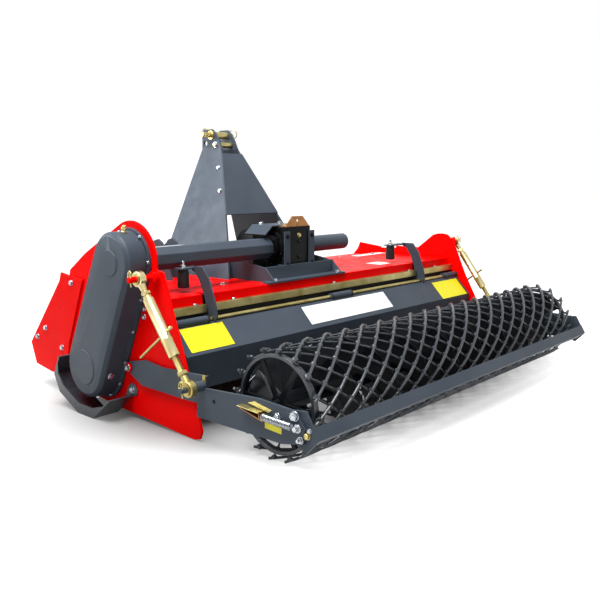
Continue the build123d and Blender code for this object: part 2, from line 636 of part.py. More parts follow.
# Roller arms: front and rear halves lapped, with the adjusting link's foot pin
for name, side in SIDES:
    with BuildPart() as roller_arm:
        with BuildSketch(Plane.YZ.offset(side * ARM_X)):
            py, pz = ARM_PIVOT_AT
            panel([(py + 4, pz + 21), (py + 16, pz + 14), (py + 21, pz), (py + 18, pz - 12), (py + 8, pz - 19),
                   (616, 145), (382, 143), (266, 146), (250, 247), (494, 233), (591, 244)])
            with Locations(at(*ARM_PIVOT_AT)):
                Circle(ARM_PIVOT_R + SHAFT_FIT, mode=Mode.SUBTRACT)
        extrude(amount=side * PLATE)
        with BuildSketch(Plane.YZ.offset(side * (ARM_X + PLATE))):
            panel([(288, 205), (2, 225), (-150, 218), (-192, 168), (-186, 122), (-100, 104), (294, 100)])
        extrude(amount=side * PLATE)
        with BuildSketch(along_x(side * (ARM_X + PLATE), LINK_FOOT_AT)):
            RegularPolygon(18, 12)
        extrude(amount=side * (LINK_X[name] - EYE / 2 - 1 - ARM_X - PLATE))
        with BuildSketch(along_x(side * (ARM_X + PLATE), LINK_FOOT_AT)):
            RegularPolygon(FOOT_PIN_R, 16)
        extrude(amount=side * (LINK_X[name] + LINK_PIN_OUT - 4 - ARM_X - PLATE))
    roller_arm.part.label = "roller_arm_" + name
    export_step(roller_arm.part, "parts/roller_arm_" + name + ".step")

ARM_REAR_X = ARM_X + PLATE
with BuildPart() as roller_bearings:
    for _, side in SIDES:
        with BuildSketch(along_x(side * ARM_REAR_X, ROLLER_AT)):
            RegularPolygon(36, 16)
        extrude(amount=-side * 34)
        with BuildSketch(along_x(side * (ARM_REAR_X - 2), ROLLER_AT)):
            Circle(ROLLER_STUB_R + SHAFT_FIT)
        extrude(amount=-side * 40, mode=Mode.SUBTRACT)
roller_bearings.part.label = "roller_bearings"
export_step(roller_bearings.part, "parts/roller_bearings.step")

# Scraper: an angle bar behind the roller, on two lever plates inside the arms
with BuildPart() as scraper:
    with BuildSketch(Plane.YZ.offset(-ARM_REAR_X)):
        panel(bent([(-212, 176), (-231, 143), (-205, 122)], 5))
    extrude(amount=2 * ARM_REAR_X)
    for _, side in SIDES:
        with BuildSketch(Plane.YZ.offset(side * ARM_REAR_X)):
            panel([(-42, 150), (-39, 190), (-120, 214), (-188, 222), (-231, 150), (-231, 135), (-190, 92),
                   (-120, 130)])
        extrude(amount=-side * 8)
scraper.part.label = "scraper"
export_step(scraper.part, "parts/scraper.step")

# Scraper springs and their anchors on the arms' outer faces
SPRING_X = ARM_REAR_X + PLATE + 14
SPRING_R = 11.0
SPRING_FROM = (-19.3, 178.0)
SPRING_TO = (-166.6, 173.0)
SPRING_PLATE_END = SPRING_FROM[0] + 0.3    # the spring seats on the front anchor's folded end
POST_R = 9.0
with BuildPart() as spring_anchors:
    for _, side in SIDES:
        base_x = side * (ARM_REAR_X + PLATE)
        with BuildSketch(Plane.YZ.offset(base_x)):
            panel([(72, 170), (72, 196), (SPRING_PLATE_END, 191), (SPRING_PLATE_END, 165)])
        extrude(amount=side * 4)
        with BuildSketch(Plane.YZ.offset(base_x)):
            panel([(SPRING_PLATE_END + 6, 165), (SPRING_PLATE_END + 6, 191), (SPRING_PLATE_END, 191),
                   (SPRING_PLATE_END, 165)])
        extrude(amount=side * 28)
        with BuildSketch(along_x(base_x, (SPRING_TO[0] - 0.3 - POST_R, SPRING_TO[1]))):
            RegularPolygon(POST_R, 8)
        extrude(amount=side * 30)
spring_anchors.part.label = "spring_anchors"
export_step(spring_anchors.part, "parts/spring_anchors.step")

spring_run = hypot(SPRING_TO[0] - SPRING_FROM[0], SPRING_TO[1] - SPRING_FROM[1])
with BuildPart() as scraper_springs:
    for _, side in SIDES:
        spring_plane = Plane(origin=(side * SPRING_X, ROLLER_Y + SPRING_FROM[0], SPRING_FROM[1]), x_dir=(1, 0, 0),
                             z_dir=(0, SPRING_TO[0] - SPRING_FROM[0], SPRING_TO[1] - SPRING_FROM[1]))
        with BuildSketch(spring_plane):
            RegularPolygon(SPRING_R, 12)
        extrude(amount=spring_run)
scraper_springs.part.label = "scraper_springs"
export_step(scraper_springs.part, "parts/scraper_springs.step")

# Wire mesh radii, from the outside in, and the end rings that fit just under the inner wires
outer_wire_r = MESH_R - OUTER_WIRE / 2
inner_wire_r = outer_wire_r - OUTER_WIRE / 2 - WIRE_GAP - INNER_WIRE / 2
ring_step = (ROLLER_HALF - RING) / WIRE_STEP % 1 - 0.5
ring_dip = cos(pi / WIRE_STARTS) / cos(ring_step * 2 * pi / WIRE_STARTS)
RING_R = (inner_wire_r - INNER_WIRE / 2) * ring_dip - 0.3
AUGER_R = RING_R - 1

# Roller core: hub tube, stub shafts, and end rings on six spokes
with BuildPart() as roller_core:
    with BuildSketch(along_x(-ROLLER_HALF, ROLLER_AT)):
        RegularPolygon(HUB_R, 16)
    extrude(amount=2 * ROLLER_HALF)
    with BuildSketch(along_x(-ARM_REAR_X + 8, ROLLER_AT)):
        Circle(ROLLER_STUB_R)
    extrude(amount=2 * (ARM_REAR_X - 8))
    for ring_x in (-ROLLER_HALF, ROLLER_HALF - RING):
        with BuildSketch(along_x(ring_x, ROLLER_AT)):
            Circle(RING_R)
            RegularPolygon(RING_R - RING_DEPTH, 32, mode=Mode.SUBTRACT)
        extrude(amount=RING)
        with BuildSketch(along_x(ring_x, ROLLER_AT)):
            with PolarLocations((HUB_R + RING_R - RING_DEPTH) / 2, 6, start_angle=2):
                Rectangle(RING_R - RING_DEPTH - HUB_R + 8, 16)
        extrude(amount=RING)
roller_core.part.label = "roller_core"
export_step(roller_core.part, "parts/roller_core.step")



def section(x, turn, low, high, width):
    """Corners of a bar's cross section at x, standing out from the roller's axle at an angle."""
    out = (cos(turn), sin(turn))
    return [(x, ROLLER_Y + ROLLER_AT[0] + r * out[0] - w * out[1], ROLLER_AT[1] + r * out[1] + w * out[0])
            for r, w in ((low, -width / 2), (high, -width / 2), (high, width / 2), (low, width / 2))]


# Auger flight inside the roller: its sheet stands square to the axle
flight_length = ROLLER_HALF - RING - 10
FLIGHT_SHEET = 4.0
FLIGHT_TURN = 30.0         # degrees from one section to the next
FLIGHT_IN_R = (HUB_R + 0.3) / cos(radians(FLIGHT_TURN / 2))
flight_steps = round(2 * flight_length / AUGER_PITCH * 360 / FLIGHT_TURN)
flight = []
for k in range(flight_steps + 1):
    x = -flight_length + 2 * flight_length * k / flight_steps
    turn = radians(FLIGHT_TURN * k)
    out = (cos(turn), sin(turn))
    flight.append([(x + step, ROLLER_Y + ROLLER_AT[0] + r * out[0], ROLLER_AT[1] + r * out[1])
                   for r, step in ((FLIGHT_IN_R, -FLIGHT_SHEET / 2), (AUGER_R, -FLIGHT_SHEET / 2),
                                   (AUGER_R, FLIGHT_SHEET / 2), (FLIGHT_IN_R, FLIGHT_SHEET / 2))])
with BuildPart() as roller_auger:
    add(through(flight))
roller_auger.part.label = "roller_auger"
export_step(roller_auger.part, "parts/roller_auger.step")

# Wire mesh: two families of helical wires of opposite hand, crossing at every step
axle = Axis((0, ROLLER_Y + ROLLER_AT[0], ROLLER_AT[1]), (1, 0, 0))
for name, radius, gauge, hand in (("mesh_inner", inner_wire_r, INNER_WIRE, 1),
                                  ("mesh_outer", outer_wire_r, OUTER_WIRE, -1)):
    wire = through([section(k * WIRE_STEP, hand * 2 * pi * k / WIRE_STARTS, radius - gauge / 2, radius + gauge / 2,
                            gauge * 1.2) for k in range(-WIRE_NODES, WIRE_NODES + 1)])
    with BuildPart() as mesh:
        add([wire.rotate(axle, 360 * i / WIRE_STARTS) for i in range(WIRE_STARTS)])
    mesh.part.label = name
    export_step(mesh.part, "parts/" + name + ".step")

# Adjusting links: an eye with a threaded tube, and a threaded rod with the lower eye
link_run = hypot(LINK_FOOT_AT[0] - LINK_TOP_AT[0], LINK_FOOT_AT[1] - LINK_TOP_AT[1])
link_way = (0, (LINK_FOOT_AT[0] - LINK_TOP_AT[0]) / link_run, (LINK_FOOT_AT[1] - LINK_TOP_AT[1]) / link_run)
for name, side in SIDES:
    link_x = LINK_X[name]
    down = Plane(origin=(side * link_x, ROLLER_Y + LINK_TOP_AT[0], LINK_TOP_AT[1]), x_dir=(1, 0, 0), z_dir=link_way)
    with BuildPart() as link_tube:
        with BuildSketch(along_x(side * link_x - EYE / 2, LINK_TOP_AT)):
            RegularPolygon(EYE_R, 20)
        extrude(amount=EYE)
        for start, end, radius in ((20, 82, ROD_R), (78, 305, TUBE_R)):
            with BuildSketch(down.offset(start)):
                RegularPolygon(radius, 16)
            extrude(amount=end - start)
        with BuildSketch(down.offset(52)):
            RegularPolygon(17, 6)
        extrude(amount=14)
        with BuildSketch(along_x(side * link_x - EYE / 2, LINK_TOP_AT)):
            Circle(LINK_PIN_R + SHAFT_FIT)
        extrude(amount=EYE, mode=Mode.SUBTRACT)
        with BuildSketch(down.offset(130)):
            RegularPolygon(ROD_R + SHAFT_FIT, 16)
        extrude(amount=180, mode=Mode.SUBTRACT)
    link_tube.part.label = "link_tube_" + name
    export_step(link_tube.part, "parts/link_tube_" + name + ".step")

    with BuildPart() as link_rod:
        with BuildSketch(along_x(side * link_x - EYE / 2, LINK_FOOT_AT)):
            RegularPolygon(EYE_R, 20)
        extrude(amount=EYE)
        with BuildSketch(down.offset(215)):
            RegularPolygon(ROD_R, 16)
        extrude(amount=link_run - 15 - 215)
        with BuildSketch(down.offset(360)):
            RegularPolygon(17, 6)
        extrude(amount=16)
        with BuildSketch(along_x(side * link_x - EYE / 2, LINK_FOOT_AT)):
            RegularPolygon(FOOT_PIN_R + FOOT_PLAY, 20)
        extrude(amount=EYE, mode=Mode.SUBTRACT)
    link_rod.part.label = "link_rod_" + name
    export_step(link_rod.part, "parts/link_rod_" + name + ".step")
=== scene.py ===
import json
from math import cos, hypot, pi, radians, sin, tan

import bmesh
import bpy
from bpy.props import FloatProperty, FloatVectorProperty, IntProperty, PointerProperty
from bpy.types import Operator, Panel, PropertyGroup
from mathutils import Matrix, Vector

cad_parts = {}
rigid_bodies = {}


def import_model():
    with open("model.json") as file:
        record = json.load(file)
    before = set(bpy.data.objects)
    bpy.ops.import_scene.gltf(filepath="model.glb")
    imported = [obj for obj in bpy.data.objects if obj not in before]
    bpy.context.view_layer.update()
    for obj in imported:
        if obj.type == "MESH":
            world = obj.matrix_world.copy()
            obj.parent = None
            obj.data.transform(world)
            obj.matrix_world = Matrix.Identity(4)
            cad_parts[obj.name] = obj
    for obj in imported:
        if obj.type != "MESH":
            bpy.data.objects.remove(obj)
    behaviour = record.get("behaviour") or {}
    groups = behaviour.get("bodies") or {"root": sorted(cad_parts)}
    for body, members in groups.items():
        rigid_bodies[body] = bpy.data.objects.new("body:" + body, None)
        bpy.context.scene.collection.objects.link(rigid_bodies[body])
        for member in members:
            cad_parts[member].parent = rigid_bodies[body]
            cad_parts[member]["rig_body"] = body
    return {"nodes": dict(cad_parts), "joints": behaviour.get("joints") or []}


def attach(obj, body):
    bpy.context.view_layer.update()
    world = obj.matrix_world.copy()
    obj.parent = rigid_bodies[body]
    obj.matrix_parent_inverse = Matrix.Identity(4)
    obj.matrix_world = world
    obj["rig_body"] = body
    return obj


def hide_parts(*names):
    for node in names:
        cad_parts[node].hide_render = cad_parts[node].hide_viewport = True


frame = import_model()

bl_info = {
    "name": "Stone Burier",
    "version": (1, 0, 0),
    "blender": (4, 5, 0),
    "location": "3D View > Sidebar > Burier",
    "description": "Dresses a tractor-mounted stone burier: its sheet metal, rotor, mesh roller and fittings",
    "category": "Add Mesh",
}

# +X is to the right as seen from behind, +Y is forward, and the floor is at z = 0.
# Sizes and places are in millimetres, y is measured from the roller's axle, and a name that ends in
# _AT is a (y, z) pair. What is added to a placed point as a Vector is in metres.
MM = 0.001
JOINTS = {joint["name"]: joint for joint in frame["joints"]}
AXLE_Y = JOINTS["roller_spin"]["pos_m"][1] * 1000
SIDES = (("left", -1), ("right", 1))
BLUNT = radians(32)

# Faces of the side plates and the deck, and the thickness of a sticker
OUTER_X = 1003.0
INNER_X = 993.0
DECK_TOP_Z = 467.0
FILM = 0.6

# Chain case with its rounds of flange bolts, gearbox and base
ROTOR_AT = (873.0, 185.0)
COUNTERSHAFT_AT = (673.0, 598.0)
CASE_FLANGE_X = -1015.0
CASE_TOP_BOLTS = 116.5
CASE_FOOT_BOLTS = 127.5
GEARBOX_BACK_Y = 588.0
BASE_TOP_Z = 475.0

# Headstock and linkage pins
HITCH_X = -190.0
MAST_LEAN = radians(20.6)
MAST_KNEE_Z = 1035.0
EAR_OUT = 54.0
TOP_PIN_AT = (1093.0, 1098.0)
EAR_BOLT_AT = (1062.0, 1053.0)
LOWER_PIN_AT = (1180.0, 492.0)
LOWER_PIN_OUT = 412.0

# Hood: its hinge, the upper and lower edge of its sloping face, and the buffers on it
HOOD_HINGE_AT = (486.0, 379.0)
HOOD_FACE_TOP_AT = (478.0, 370.5)
HOOD_FACE_FOOT_AT = (392.0, 280.0)
BUFFER_X = (-820.0, 535.0)
BUFFER_AT = (607.0, 487.0)

# Roller arms, and the scraper's springs from their hook to their bolt
ARM_PIVOT_AT = (688.0, 202.0)
ARM_FACE_X = 1028.0
LEVER_FACE_X = 1018.0
SPRING_X = 1042.0
SPRING_FROM = (-19.3, 178.0)
SPRING_TO = (-166.6, 173.0)
SPRING_EYE_AT = (SPRING_TO[0] - 9.3, SPRING_TO[1])
SPRING_HOOK = 14.0
SPRING_TURNS = 20
SPRING_STEPS = 12
COIL_RADIUS = 10.4

# Mesh roller: the wires of a layer, the way along the roller in which a wire comes round to its
# neighbour's place, where the first one starts, the layers' radii, and how far they reach
ROLLER_AT = (0.0, 186.0)
WIRES = 16
WIRE_STEP = 105.0
WIRE_PHASE = 0.16
OUTER_WIRES_R = 180.8
INNER_WIRES_R = 170.5
OUTER_WIRE_END = 961.0
INNER_WIRE_END = 948.0
LAST_WELD = 945.0

# Adjusting links, and the turned section of their eyes
LINK_TOP_AT = (524.0, 553.0)
LINK_FOOT_AT = (268.0, 213.0)
LINK_X = {"left": 1078.0, "right": 1045.0}
LINK_PIN_OUT = 44.0
LINK_EYE = [(-11, 17), (-13, 20), (-13, 25), (-10, 28), (10, 28), (13, 25), (13, 20), (11, 17)]
LINK_TUBE = [(70, 13), (71, 15), (80, 15), (82, 19), (84, 19), (236, 19), (238, 20.2), (242, 20.2),
             (244, 19), (303, 19), (305, 17)]

# Studio: the camera as fitted to the photograph, with y from the roller's axle and in metres, the floor's
# painted shadow grey under the machine and its paler grey round it, and the sky's light on surfaces
CAMERA_PLACE = (-2.5206, -1.5192, 0.8829)
CAMERA_TILT = radians(80.63)
CAMERA_HEADING = radians(-47.98)
CAMERA_LENS = 43.04
FLOOR_SHADOW_GREY = 0.16
FLOOR_ROUND = 0.42
SKY_FILL = 0.42


def linear(code):
    """Turns an sRGB hex value into linear red, green and blue."""
    values = []
    for i in (1, 3, 5):
        part = int(code[i:i + 2], 16) / 255
        values.append(part / 12.92 if part <= 0.04045 else ((part + 0.055) / 1.055) ** 2.4)
    return tuple(values)


def colour_property(label, meaning, code):
    """A colour that a user can change, with its default as an sRGB hex value."""
    return FloatVectorProperty(name=label, description=meaning, subtype="COLOR", size=3,
                               min=0.0, max=1.0, default=linear(code))


class BurierColours(PropertyGroup):
    """Colours of the paint and the stickers"""
    red: colour_property("Body red", "Powder coat of the side plates, deck and guards", "#fa0402")
    grey: colour_property("Frame grey", "Powder coat of the hood, case, headstock and arms", "#3a434e")
    black: colour_property("Casting black", "Enamel on the gearbox and the other castings", "#07080a")
    wire: colour_property("Roller grey", "Paint on the roller's wires and rings", "#2c3239")
    sticker: colour_property("Sticker yellow", "Blank vinyl stickers on the hood", "#e2da08")


class BurierSizes(PropertyGroup):
    """Sizes of the edges, wires, springs and bolts"""
    sheet_edge: FloatProperty(name="Sheet edge", description="Rounding of cut sheet edges in millimetres",
                              default=1.6, min=0.2, max=4.0)
    outer_wire: FloatProperty(name="Outer wire", description="Gauge of the outer wires in millimetres",
                              default=10.0, min=5.0, max=11.0)
    inner_wire: FloatProperty(name="Inner wire", description="Gauge of the inner wires in millimetres",
                              default=7.0, min=4.0, max=9.0)
    wire_steps: IntProperty(name="Wire steps", description="Straight steps along each roller wire",
                            default=72, min=36, max=144)
    spring_wire: FloatProperty(name="Spring wire", description="Gauge of the scraper springs in millimetres",
                               default=3.3, min=1.0, max=4.0)
    bolt_scale: FloatProperty(name="Bolt scale", description="Size of all the bolts against their real size",
                              subtype="FACTOR", default=1.0, min=0.5, max=1.5)


def place(x, y, z):
    """A point of the frame in metres, from millimetres with y measured from the roller's axle."""
    return Vector((x, y + AXLE_Y, z)) * MM


def add_node(tree, kind, inputs=None, **settings):
    """Adds a node with its settings, and fills or links its inputs."""
    made = tree.nodes.new(kind)
    for name, value in settings.items():
        setattr(made, name, value)
    for key, value in (inputs or {}).items():
        if isinstance(value, bpy.types.NodeSocket):
            tree.links.new(value, made.inputs[key])
        else:
            made.inputs[key].default_value = value
    return made


def emptied_tree(owner):
    """The node tree of a material or the world, with nothing in it."""
    owner.use_nodes = True
    owner.node_tree.nodes.clear()
    return owner.node_tree


def new_finish(name, settings):
    """A material with its shader's settings, its node tree, its shader and where on the piece it is."""
    finish = bpy.data.materials.new(name)
    tree = emptied_tree(finish)
    shader = add_node(tree, "ShaderNodeBsdfPrincipled", settings)
    add_node(tree, "ShaderNodeOutputMaterial", {"Surface": shader.outputs[0]})
    where = add_node(tree, "ShaderNodeTexCoord").outputs["Object"]
    return finish, tree, shader, where


def per_metre(millimetres):
    """The texture scale at which one cell of a pattern is this long."""
    return 1000.0 / millimetres


def painted(name, colour, roughness, peel, peel_depth, dusty, shine):
    """Powder coat or enamel on steel: an even colour with orange peel and a little dust.

    The peel is its width and depth in millimetres, dusty is the share of dust in the pale patches, and
    shine is the strength of the reflection."""
    finish, tree, shader, where = new_finish(name, {"IOR": 1.5, "Specular IOR Level": shine})
    cloud = add_node(tree, "ShaderNodeTexNoise", {"Vector": where, "Scale": per_metre(240), "Detail": 3.0})
    shade = add_node(tree, "ShaderNodeMapRange", {"Value": cloud.outputs[0], "From Min": 0.35,
                                                  "From Max": 0.7})
    deep = tuple(0.86 * part for part in colour)
    pale = tuple(part + (0.45 - part) * dusty for part in colour)
    tone = add_node(tree, "ShaderNodeMix", {"Factor": shade.outputs[0], 6: (*deep, 1), 7: (*pale, 1)},
                    data_type="RGBA")
    tree.links.new(tone.outputs[2], shader.inputs["Base Color"])
    # Real orange peel is about 1 mm across; it is drawn wider, so that it shows in the render.
    grain = add_node(tree, "ShaderNodeTexNoise", {"Vector": where, "Scale": per_metre(peel), "Detail": 2.0})
    bump = add_node(tree, "ShaderNodeBump", {"Strength": 0.5, "Distance": peel_depth * MM,
                                             "Height": grain.outputs[0]})
    tree.links.new(bump.outputs[0], shader.inputs["Normal"])
    smear = add_node(tree, "ShaderNodeTexNoise", {"Vector": where, "Scale": per_metre(60), "Detail": 4.0})
    gloss = add_node(tree, "ShaderNodeMapRange", {"Value": smear.outputs[0], "From Min": 0.3, "From Max": 0.7,
                                                  "To Min": roughness - 0.05, "To Max": roughness + 0.08})
    tree.links.new(gloss.outputs[0], shader.inputs["Roughness"])
    return finish


def plated(name, main, tint, roughness, patch, scratch=0.05):
    """Zinc-plated or bare steel: metal that drifts between two tints over patches of a width in
    millimetres, with handling marks that change its roughness."""
    finish, tree, shader, where = new_finish(name, {"Metallic": 1.0})
    drift = add_node(tree, "ShaderNodeTexNoise", {"Vector": where, "Scale": per_metre(patch), "Detail": 3.0,
                                                  "Distortion": 0.6})
    spread = add_node(tree, "ShaderNodeMapRange", {"Value": drift.outputs[0], "From Min": 0.32,
                                                   "From Max": 0.68})
    tone = add_node(tree, "ShaderNodeMix", {"Factor": spread.outputs[0], 6: (*main, 1), 7: (*tint, 1)},
                    data_type="RGBA")
    tree.links.new(tone.outputs[2], shader.inputs["Base Color"])
    smear = add_node(tree, "ShaderNodeTexNoise", {"Vector": where, "Scale": per_metre(30), "Detail": 2.0})
    gloss = add_node(tree, "ShaderNodeMapRange", {"Value": smear.outputs[0], "From Min": 0.3,
                                                  "From Max": 0.7, "To Min": roughness - scratch,
                                                  "To Max": roughness + scratch})
    tree.links.new(gloss.outputs[0], shader.inputs["Roughness"])
    return finish


def soft_black(name, code, roughness, grain_size, depth):
    """Moulded rubber: nearly black and matt, with the mould's fine grain, its size and depth in
    millimetres."""
    finish, tree, shader, where = new_finish(name, {"Roughness": roughness, "IOR": 1.52,
                                                    "Specular IOR Level": 0.22})
    cloud = add_node(tree, "ShaderNodeTexNoise", {"Vector": where, "Scale": per_metre(18), "Detail": 3.0})
    worn = [1.7 * part + 0.003 for part in linear(code)]
    tone = add_node(tree, "ShaderNodeMix", {"Factor": cloud.outputs[0], 6: (*linear(code), 1),
                                            7: (*worn, 1)}, data_type="RGBA")
    tree.links.new(tone.outputs[2], shader.inputs["Base Color"])
    grain = add_node(tree, "ShaderNodeTexNoise", {"Vector": where, "Scale": per_metre(grain_size)})
    bump = add_node(tree, "ShaderNodeBump", {"Strength": 0.6, "Distance": depth * MM,
                                             "Height": grain.outputs[0]})
    tree.links.new(bump.outputs[0], shader.inputs["Normal"])
    return finish


def vinyl(name, colour):
    """Printed vinyl film without its print: smooth, with a slight ripple where it was rubbed down."""
    finish, tree, shader, where = new_finish(name, {"Roughness": 0.38, "IOR": 1.5})
    ripple = add_node(tree, "ShaderNodeTexNoise", {"Vector": where, "Scale": per_metre(35), "Detail": 1.0})
    bump = add_node(tree, "ShaderNodeBump", {"Strength": 0.25, "Distance": 0.4 * MM,
                                             "Height": ripple.outputs[0]})
    tree.links.new(bump.outputs[0], shader.inputs["Normal"])
    dull = [0.94 * part for part in colour]
    tone = add_node(tree, "ShaderNodeMix", {"Factor": ripple.outputs[0], 6: (*dull, 1), 7: (*colour, 1)},
                    data_type="RGBA")
    tree.links.new(tone.outputs[2], shader.inputs["Base Color"])
    return finish


def make_finishes(colours):
    """Every finish on the machine, by its plain name."""
    red = tuple(colours.red)
    grey = tuple(colours.grey)
    return {
        # Glossy thermoset powder coat: saturated colour under a clear even shine
        "red": painted("Red powder-coated steel", red, 0.32, 5.0, 0.05, dusty=0.0, shine=0.03),
        # Satin powder coat: softer highlights that spread along folds
        "grey": painted("Slate-grey powder-coated steel", grey, 0.42, 5.0, 0.06, dusty=0.02, shine=0.2),
        # Brushed enamel over sand-cast iron: coarse skin, wet-looking spots
        "black": painted("Black enamelled cast iron", tuple(colours.black), 0.34, 4.0, 0.3, dusty=0.005,
                         shine=0.12),
        # Dipped black-grey paint on hot-rolled wire and bar: a shiny line along each wire
        "wire": painted("Painted hot-rolled wire", tuple(colours.wire), 0.27, 6.0, 0.1, dusty=0.03,
                        shine=0.5),
        # A near-black paint on the flight and hub inside the roller, darker than the wires' paint: painted
        # shade of the roller's inside
        "dark": painted("Roller core with painted shade", linear("#090c11"), 0.38, 8.0, 0.1, dusty=0.006,
                        shine=0.14),
        # Yellow chromate over zinc: straw gold that drifts to olive
        "gold": plated("Yellow-chromated zinc steel", linear("#c2b780"), linear("#a09056"), 0.36, 90, 0.02),
        # The links' thicker chromate, paler where it was rubbed
        "pale_gold": plated("Pale chromated zinc steel", linear("#ddd2a6"), linear("#bfb07a"), 0.3, 90, 0.02),
        # Clear-passivated zinc: cool silver with small drifts
        "zinc": plated("Clear-passivated zinc steel", linear("#bcc0c4"), linear("#8f949a"), 0.27, 12),
        # Heat-darkened bronze-coloured passivation
        "bronze": plated("Bronze-passivated steel", linear("#a8754a"), linear("#87603c"), 0.4, 30),
        # Quenched boron steel with mill scale, as the blades leave the forge
        "forged": plated("Forged boron steel", linear("#5d6064"), linear("#34363a"), 0.5, 25, scratch=0.1),
        # Turned shaft steel with a film of oil
        "turned": plated("Turned and oiled steel", linear("#a9adb0"), linear("#8a8e92"), 0.24, 30),
        # Moulded rubber: matt black that hardly reflects
        "rubber": soft_black("Moulded rubber", "#101112", 0.62, 2.5, 0.08),
        # Vinyl film left blank: smooth and even, with soft reflections
        "yellow": vinyl("Yellow vinyl film", tuple(colours.sticker)),
        "white": vinyl("White vinyl film", linear("#eeeeec")),
        # A grey film for the drive tube's top: a sticker whose grey colour is a painted sheen
        "sheen_grey": vinyl("Grey vinyl film with painted sheen", linear("#7d848c")),
        # A drilled hole: the dark of the space behind the plate
        "hole": soft_black("Shadowed drilled hole", "#050505", 0.9, 3.0, 0.05),
    }


FINISH = {}


def square_to(axis):
    """Two directions that stand square to an axis and to each other, and the axis."""
    along = Vector(axis).normalized()
    hint = Vector((0, 0, 1)) if abs(along.z) < 0.9 else Vector((0, 1, 0))
    across = hint.cross(along).normalized()
    return across, along.cross(across), along


def spoke(across, up, angle):
    """The direction at an angle between two directions that are square to each other."""
    return across * cos(angle) + up * sin(angle)


def outward(angle):
    """The direction at an angle round the machine's width, from +Y towards +Z."""
    return Vector((0, cos(angle), sin(angle)))


def spot(middle, reach, angle):
    """The (y, z) pair at a reach and an angle from another."""
    return middle[0] + reach * cos(angle), middle[1] + reach * sin(angle)


def heading(start, end):
    """The direction from one (y, z) pair to another, and the way between them."""
    run = hypot(end[0] - start[0], end[1] - start[1])
    return Vector((0, (end[0] - start[0]) / run, (end[1] - start[1]) / run)), run


def skin(mesh, rings, closed=False):
    """Joins rings of points, all of one length, and caps the ends."""
    rows = [[mesh.verts.new(point) for point in ring] for ring in rings]
    pairs = list(zip(rows, rows[1:]))
    if closed:
        pairs.append((rows[-1], rows[0]))
    else:
        mesh.faces.new(rows[0][::-1])
        mesh.faces.new(rows[-1])
    for first, second in pairs:
        for i in range(len(first)):
            j = (i + 1) % len(first)
            mesh.faces.new((first[i], first[j], second[j], second[i]))


def turned(mesh, start, axis, profile, sides=24, turn=0.0):
    """Adds a turned form from (distance along the axis, radius) pairs in millimetres."""
    across, up, along = square_to(axis)
    rings = []
    for reach, radius in profile:
        ring = []
        for k in range(sides):
            out = spoke(across, up, turn + 2 * pi * k / sides)
            ring.append(start + (along * reach + out * radius) * MM)
        rings.append(ring)
    skin(mesh, rings)


def collar(mesh, start, axis, profile, sides=32):
    """Adds a turned ring with a hole: its section goes once round as (distance, radius) pairs."""
    across, up, along = square_to(axis)
    rings = []
    for k in range(sides):
        out = spoke(across, up, 2 * pi * k / sides)
        rings.append([start + (along * reach + out * radius) * MM for reach, radius in profile])
    skin(mesh, rings, closed=True)


def rod(mesh, points, radius, sides=8, closed=False):
    """Adds a round bar of one gauge in millimetres that follows a line of points."""
    count = len(points)
    ways = []
    for i in range(count):
        before = points[i - 1] if i or closed else points[0]
        after = points[(i + 1) % count] if i + 1 < count or closed else points[-1]
        ways.append((after - before).normalized())
    across = square_to(ways[0])[0]
    rings = []
    for point, way in zip(points, ways):
        across = (across - way * across.dot(way)).normalized()
        up = way.cross(across)
        rings.append([point + spoke(across, up, 2 * pi * k / sides) * radius * MM
                      for k in range(sides)])
    skin(mesh, rings, closed)


def prism(mesh, corners, push):
    """Adds a straight-sided solid from one face's corners and the way to the other."""
    skin(mesh, [list(corners), [point + push for point in corners]])


def plate(mesh, x, outline, thickness):
    """Adds a plate square to the X axis, from its (y, z) outline and its thickness along X."""
    prism(mesh, [place(x, y, z) for y, z in outline], Vector((thickness * MM, 0, 0)))


def slab(mesh, x0, x1, y0, y1, z, thickness):
    """Adds a level plate from the sides of its rectangle, its underside and its thickness."""
    prism(mesh, [place(x0, y0, z), place(x1, y0, z), place(x1, y1, z), place(x0, y1, z)],
          Vector((0, 0, thickness * MM)))


def nut(mesh, start, axis, flats, height, turn=0.0):
    """Adds a hexagon with chamfered corners, given over its flats in millimetres."""
    reach = flats / 2 / cos(pi / 6)
    turned(mesh, start, axis, [(0, reach * 0.9), (height * 0.1, reach), (height * 0.82, reach),
                               (height, reach * 0.86)], sides=6, turn=turn)


def bolt(mesh, start, axis, size, stub=0.0, washer=True):
    """Adds a washer and a hexagon head with a domed top, or with a thread's end that stands out."""
    size = size * bpy.context.scene.burier_sizes.bolt_scale
    along = square_to(axis)[2]
    lift = 0.0
    if washer:
        turned(mesh, start, axis, [(0, size * 1.12), (size * 0.1, size * 1.15), (size * 0.2, size * 1.1)])
        lift = size * 0.2
    # The hexagon's turn comes from its place, so that neighbouring bolts differ
    turn = (start.x * 37 + start.y * 53 + start.z * 71) % 1.0
    nut(mesh, start + along * lift * MM, axis, size * 1.65, size * 0.68, turn)
    if stub:
        end = [(0, size * 0.5), (stub - 1, size * 0.5), (stub, size * 0.42)]
    else:
        end = [(0, size * 0.55), (size * 0.06, size * 0.4)]
    turned(mesh, start + along * (lift + size * 0.68) * MM, axis, end, sides=16)


def ring_path(centre, axis, radius, count=24):
    """Points on a circle in millimetres about a centre."""
    across, up, _ = square_to(axis)
    return [centre + spoke(across, up, 2 * pi * k / count) * radius * MM for k in range(count)]


def linch_pin(mesh, end, stem, gauge, hang, axis, radius, wire):
    """Adds a linch pin at a pin's end: its straight stem, and the ring that hangs round an axis."""
    rod(mesh, [end + Vector(point) for point in stem], gauge)
    rod(mesh, ring_path(end + Vector(hang), axis, radius), wire, closed=True)


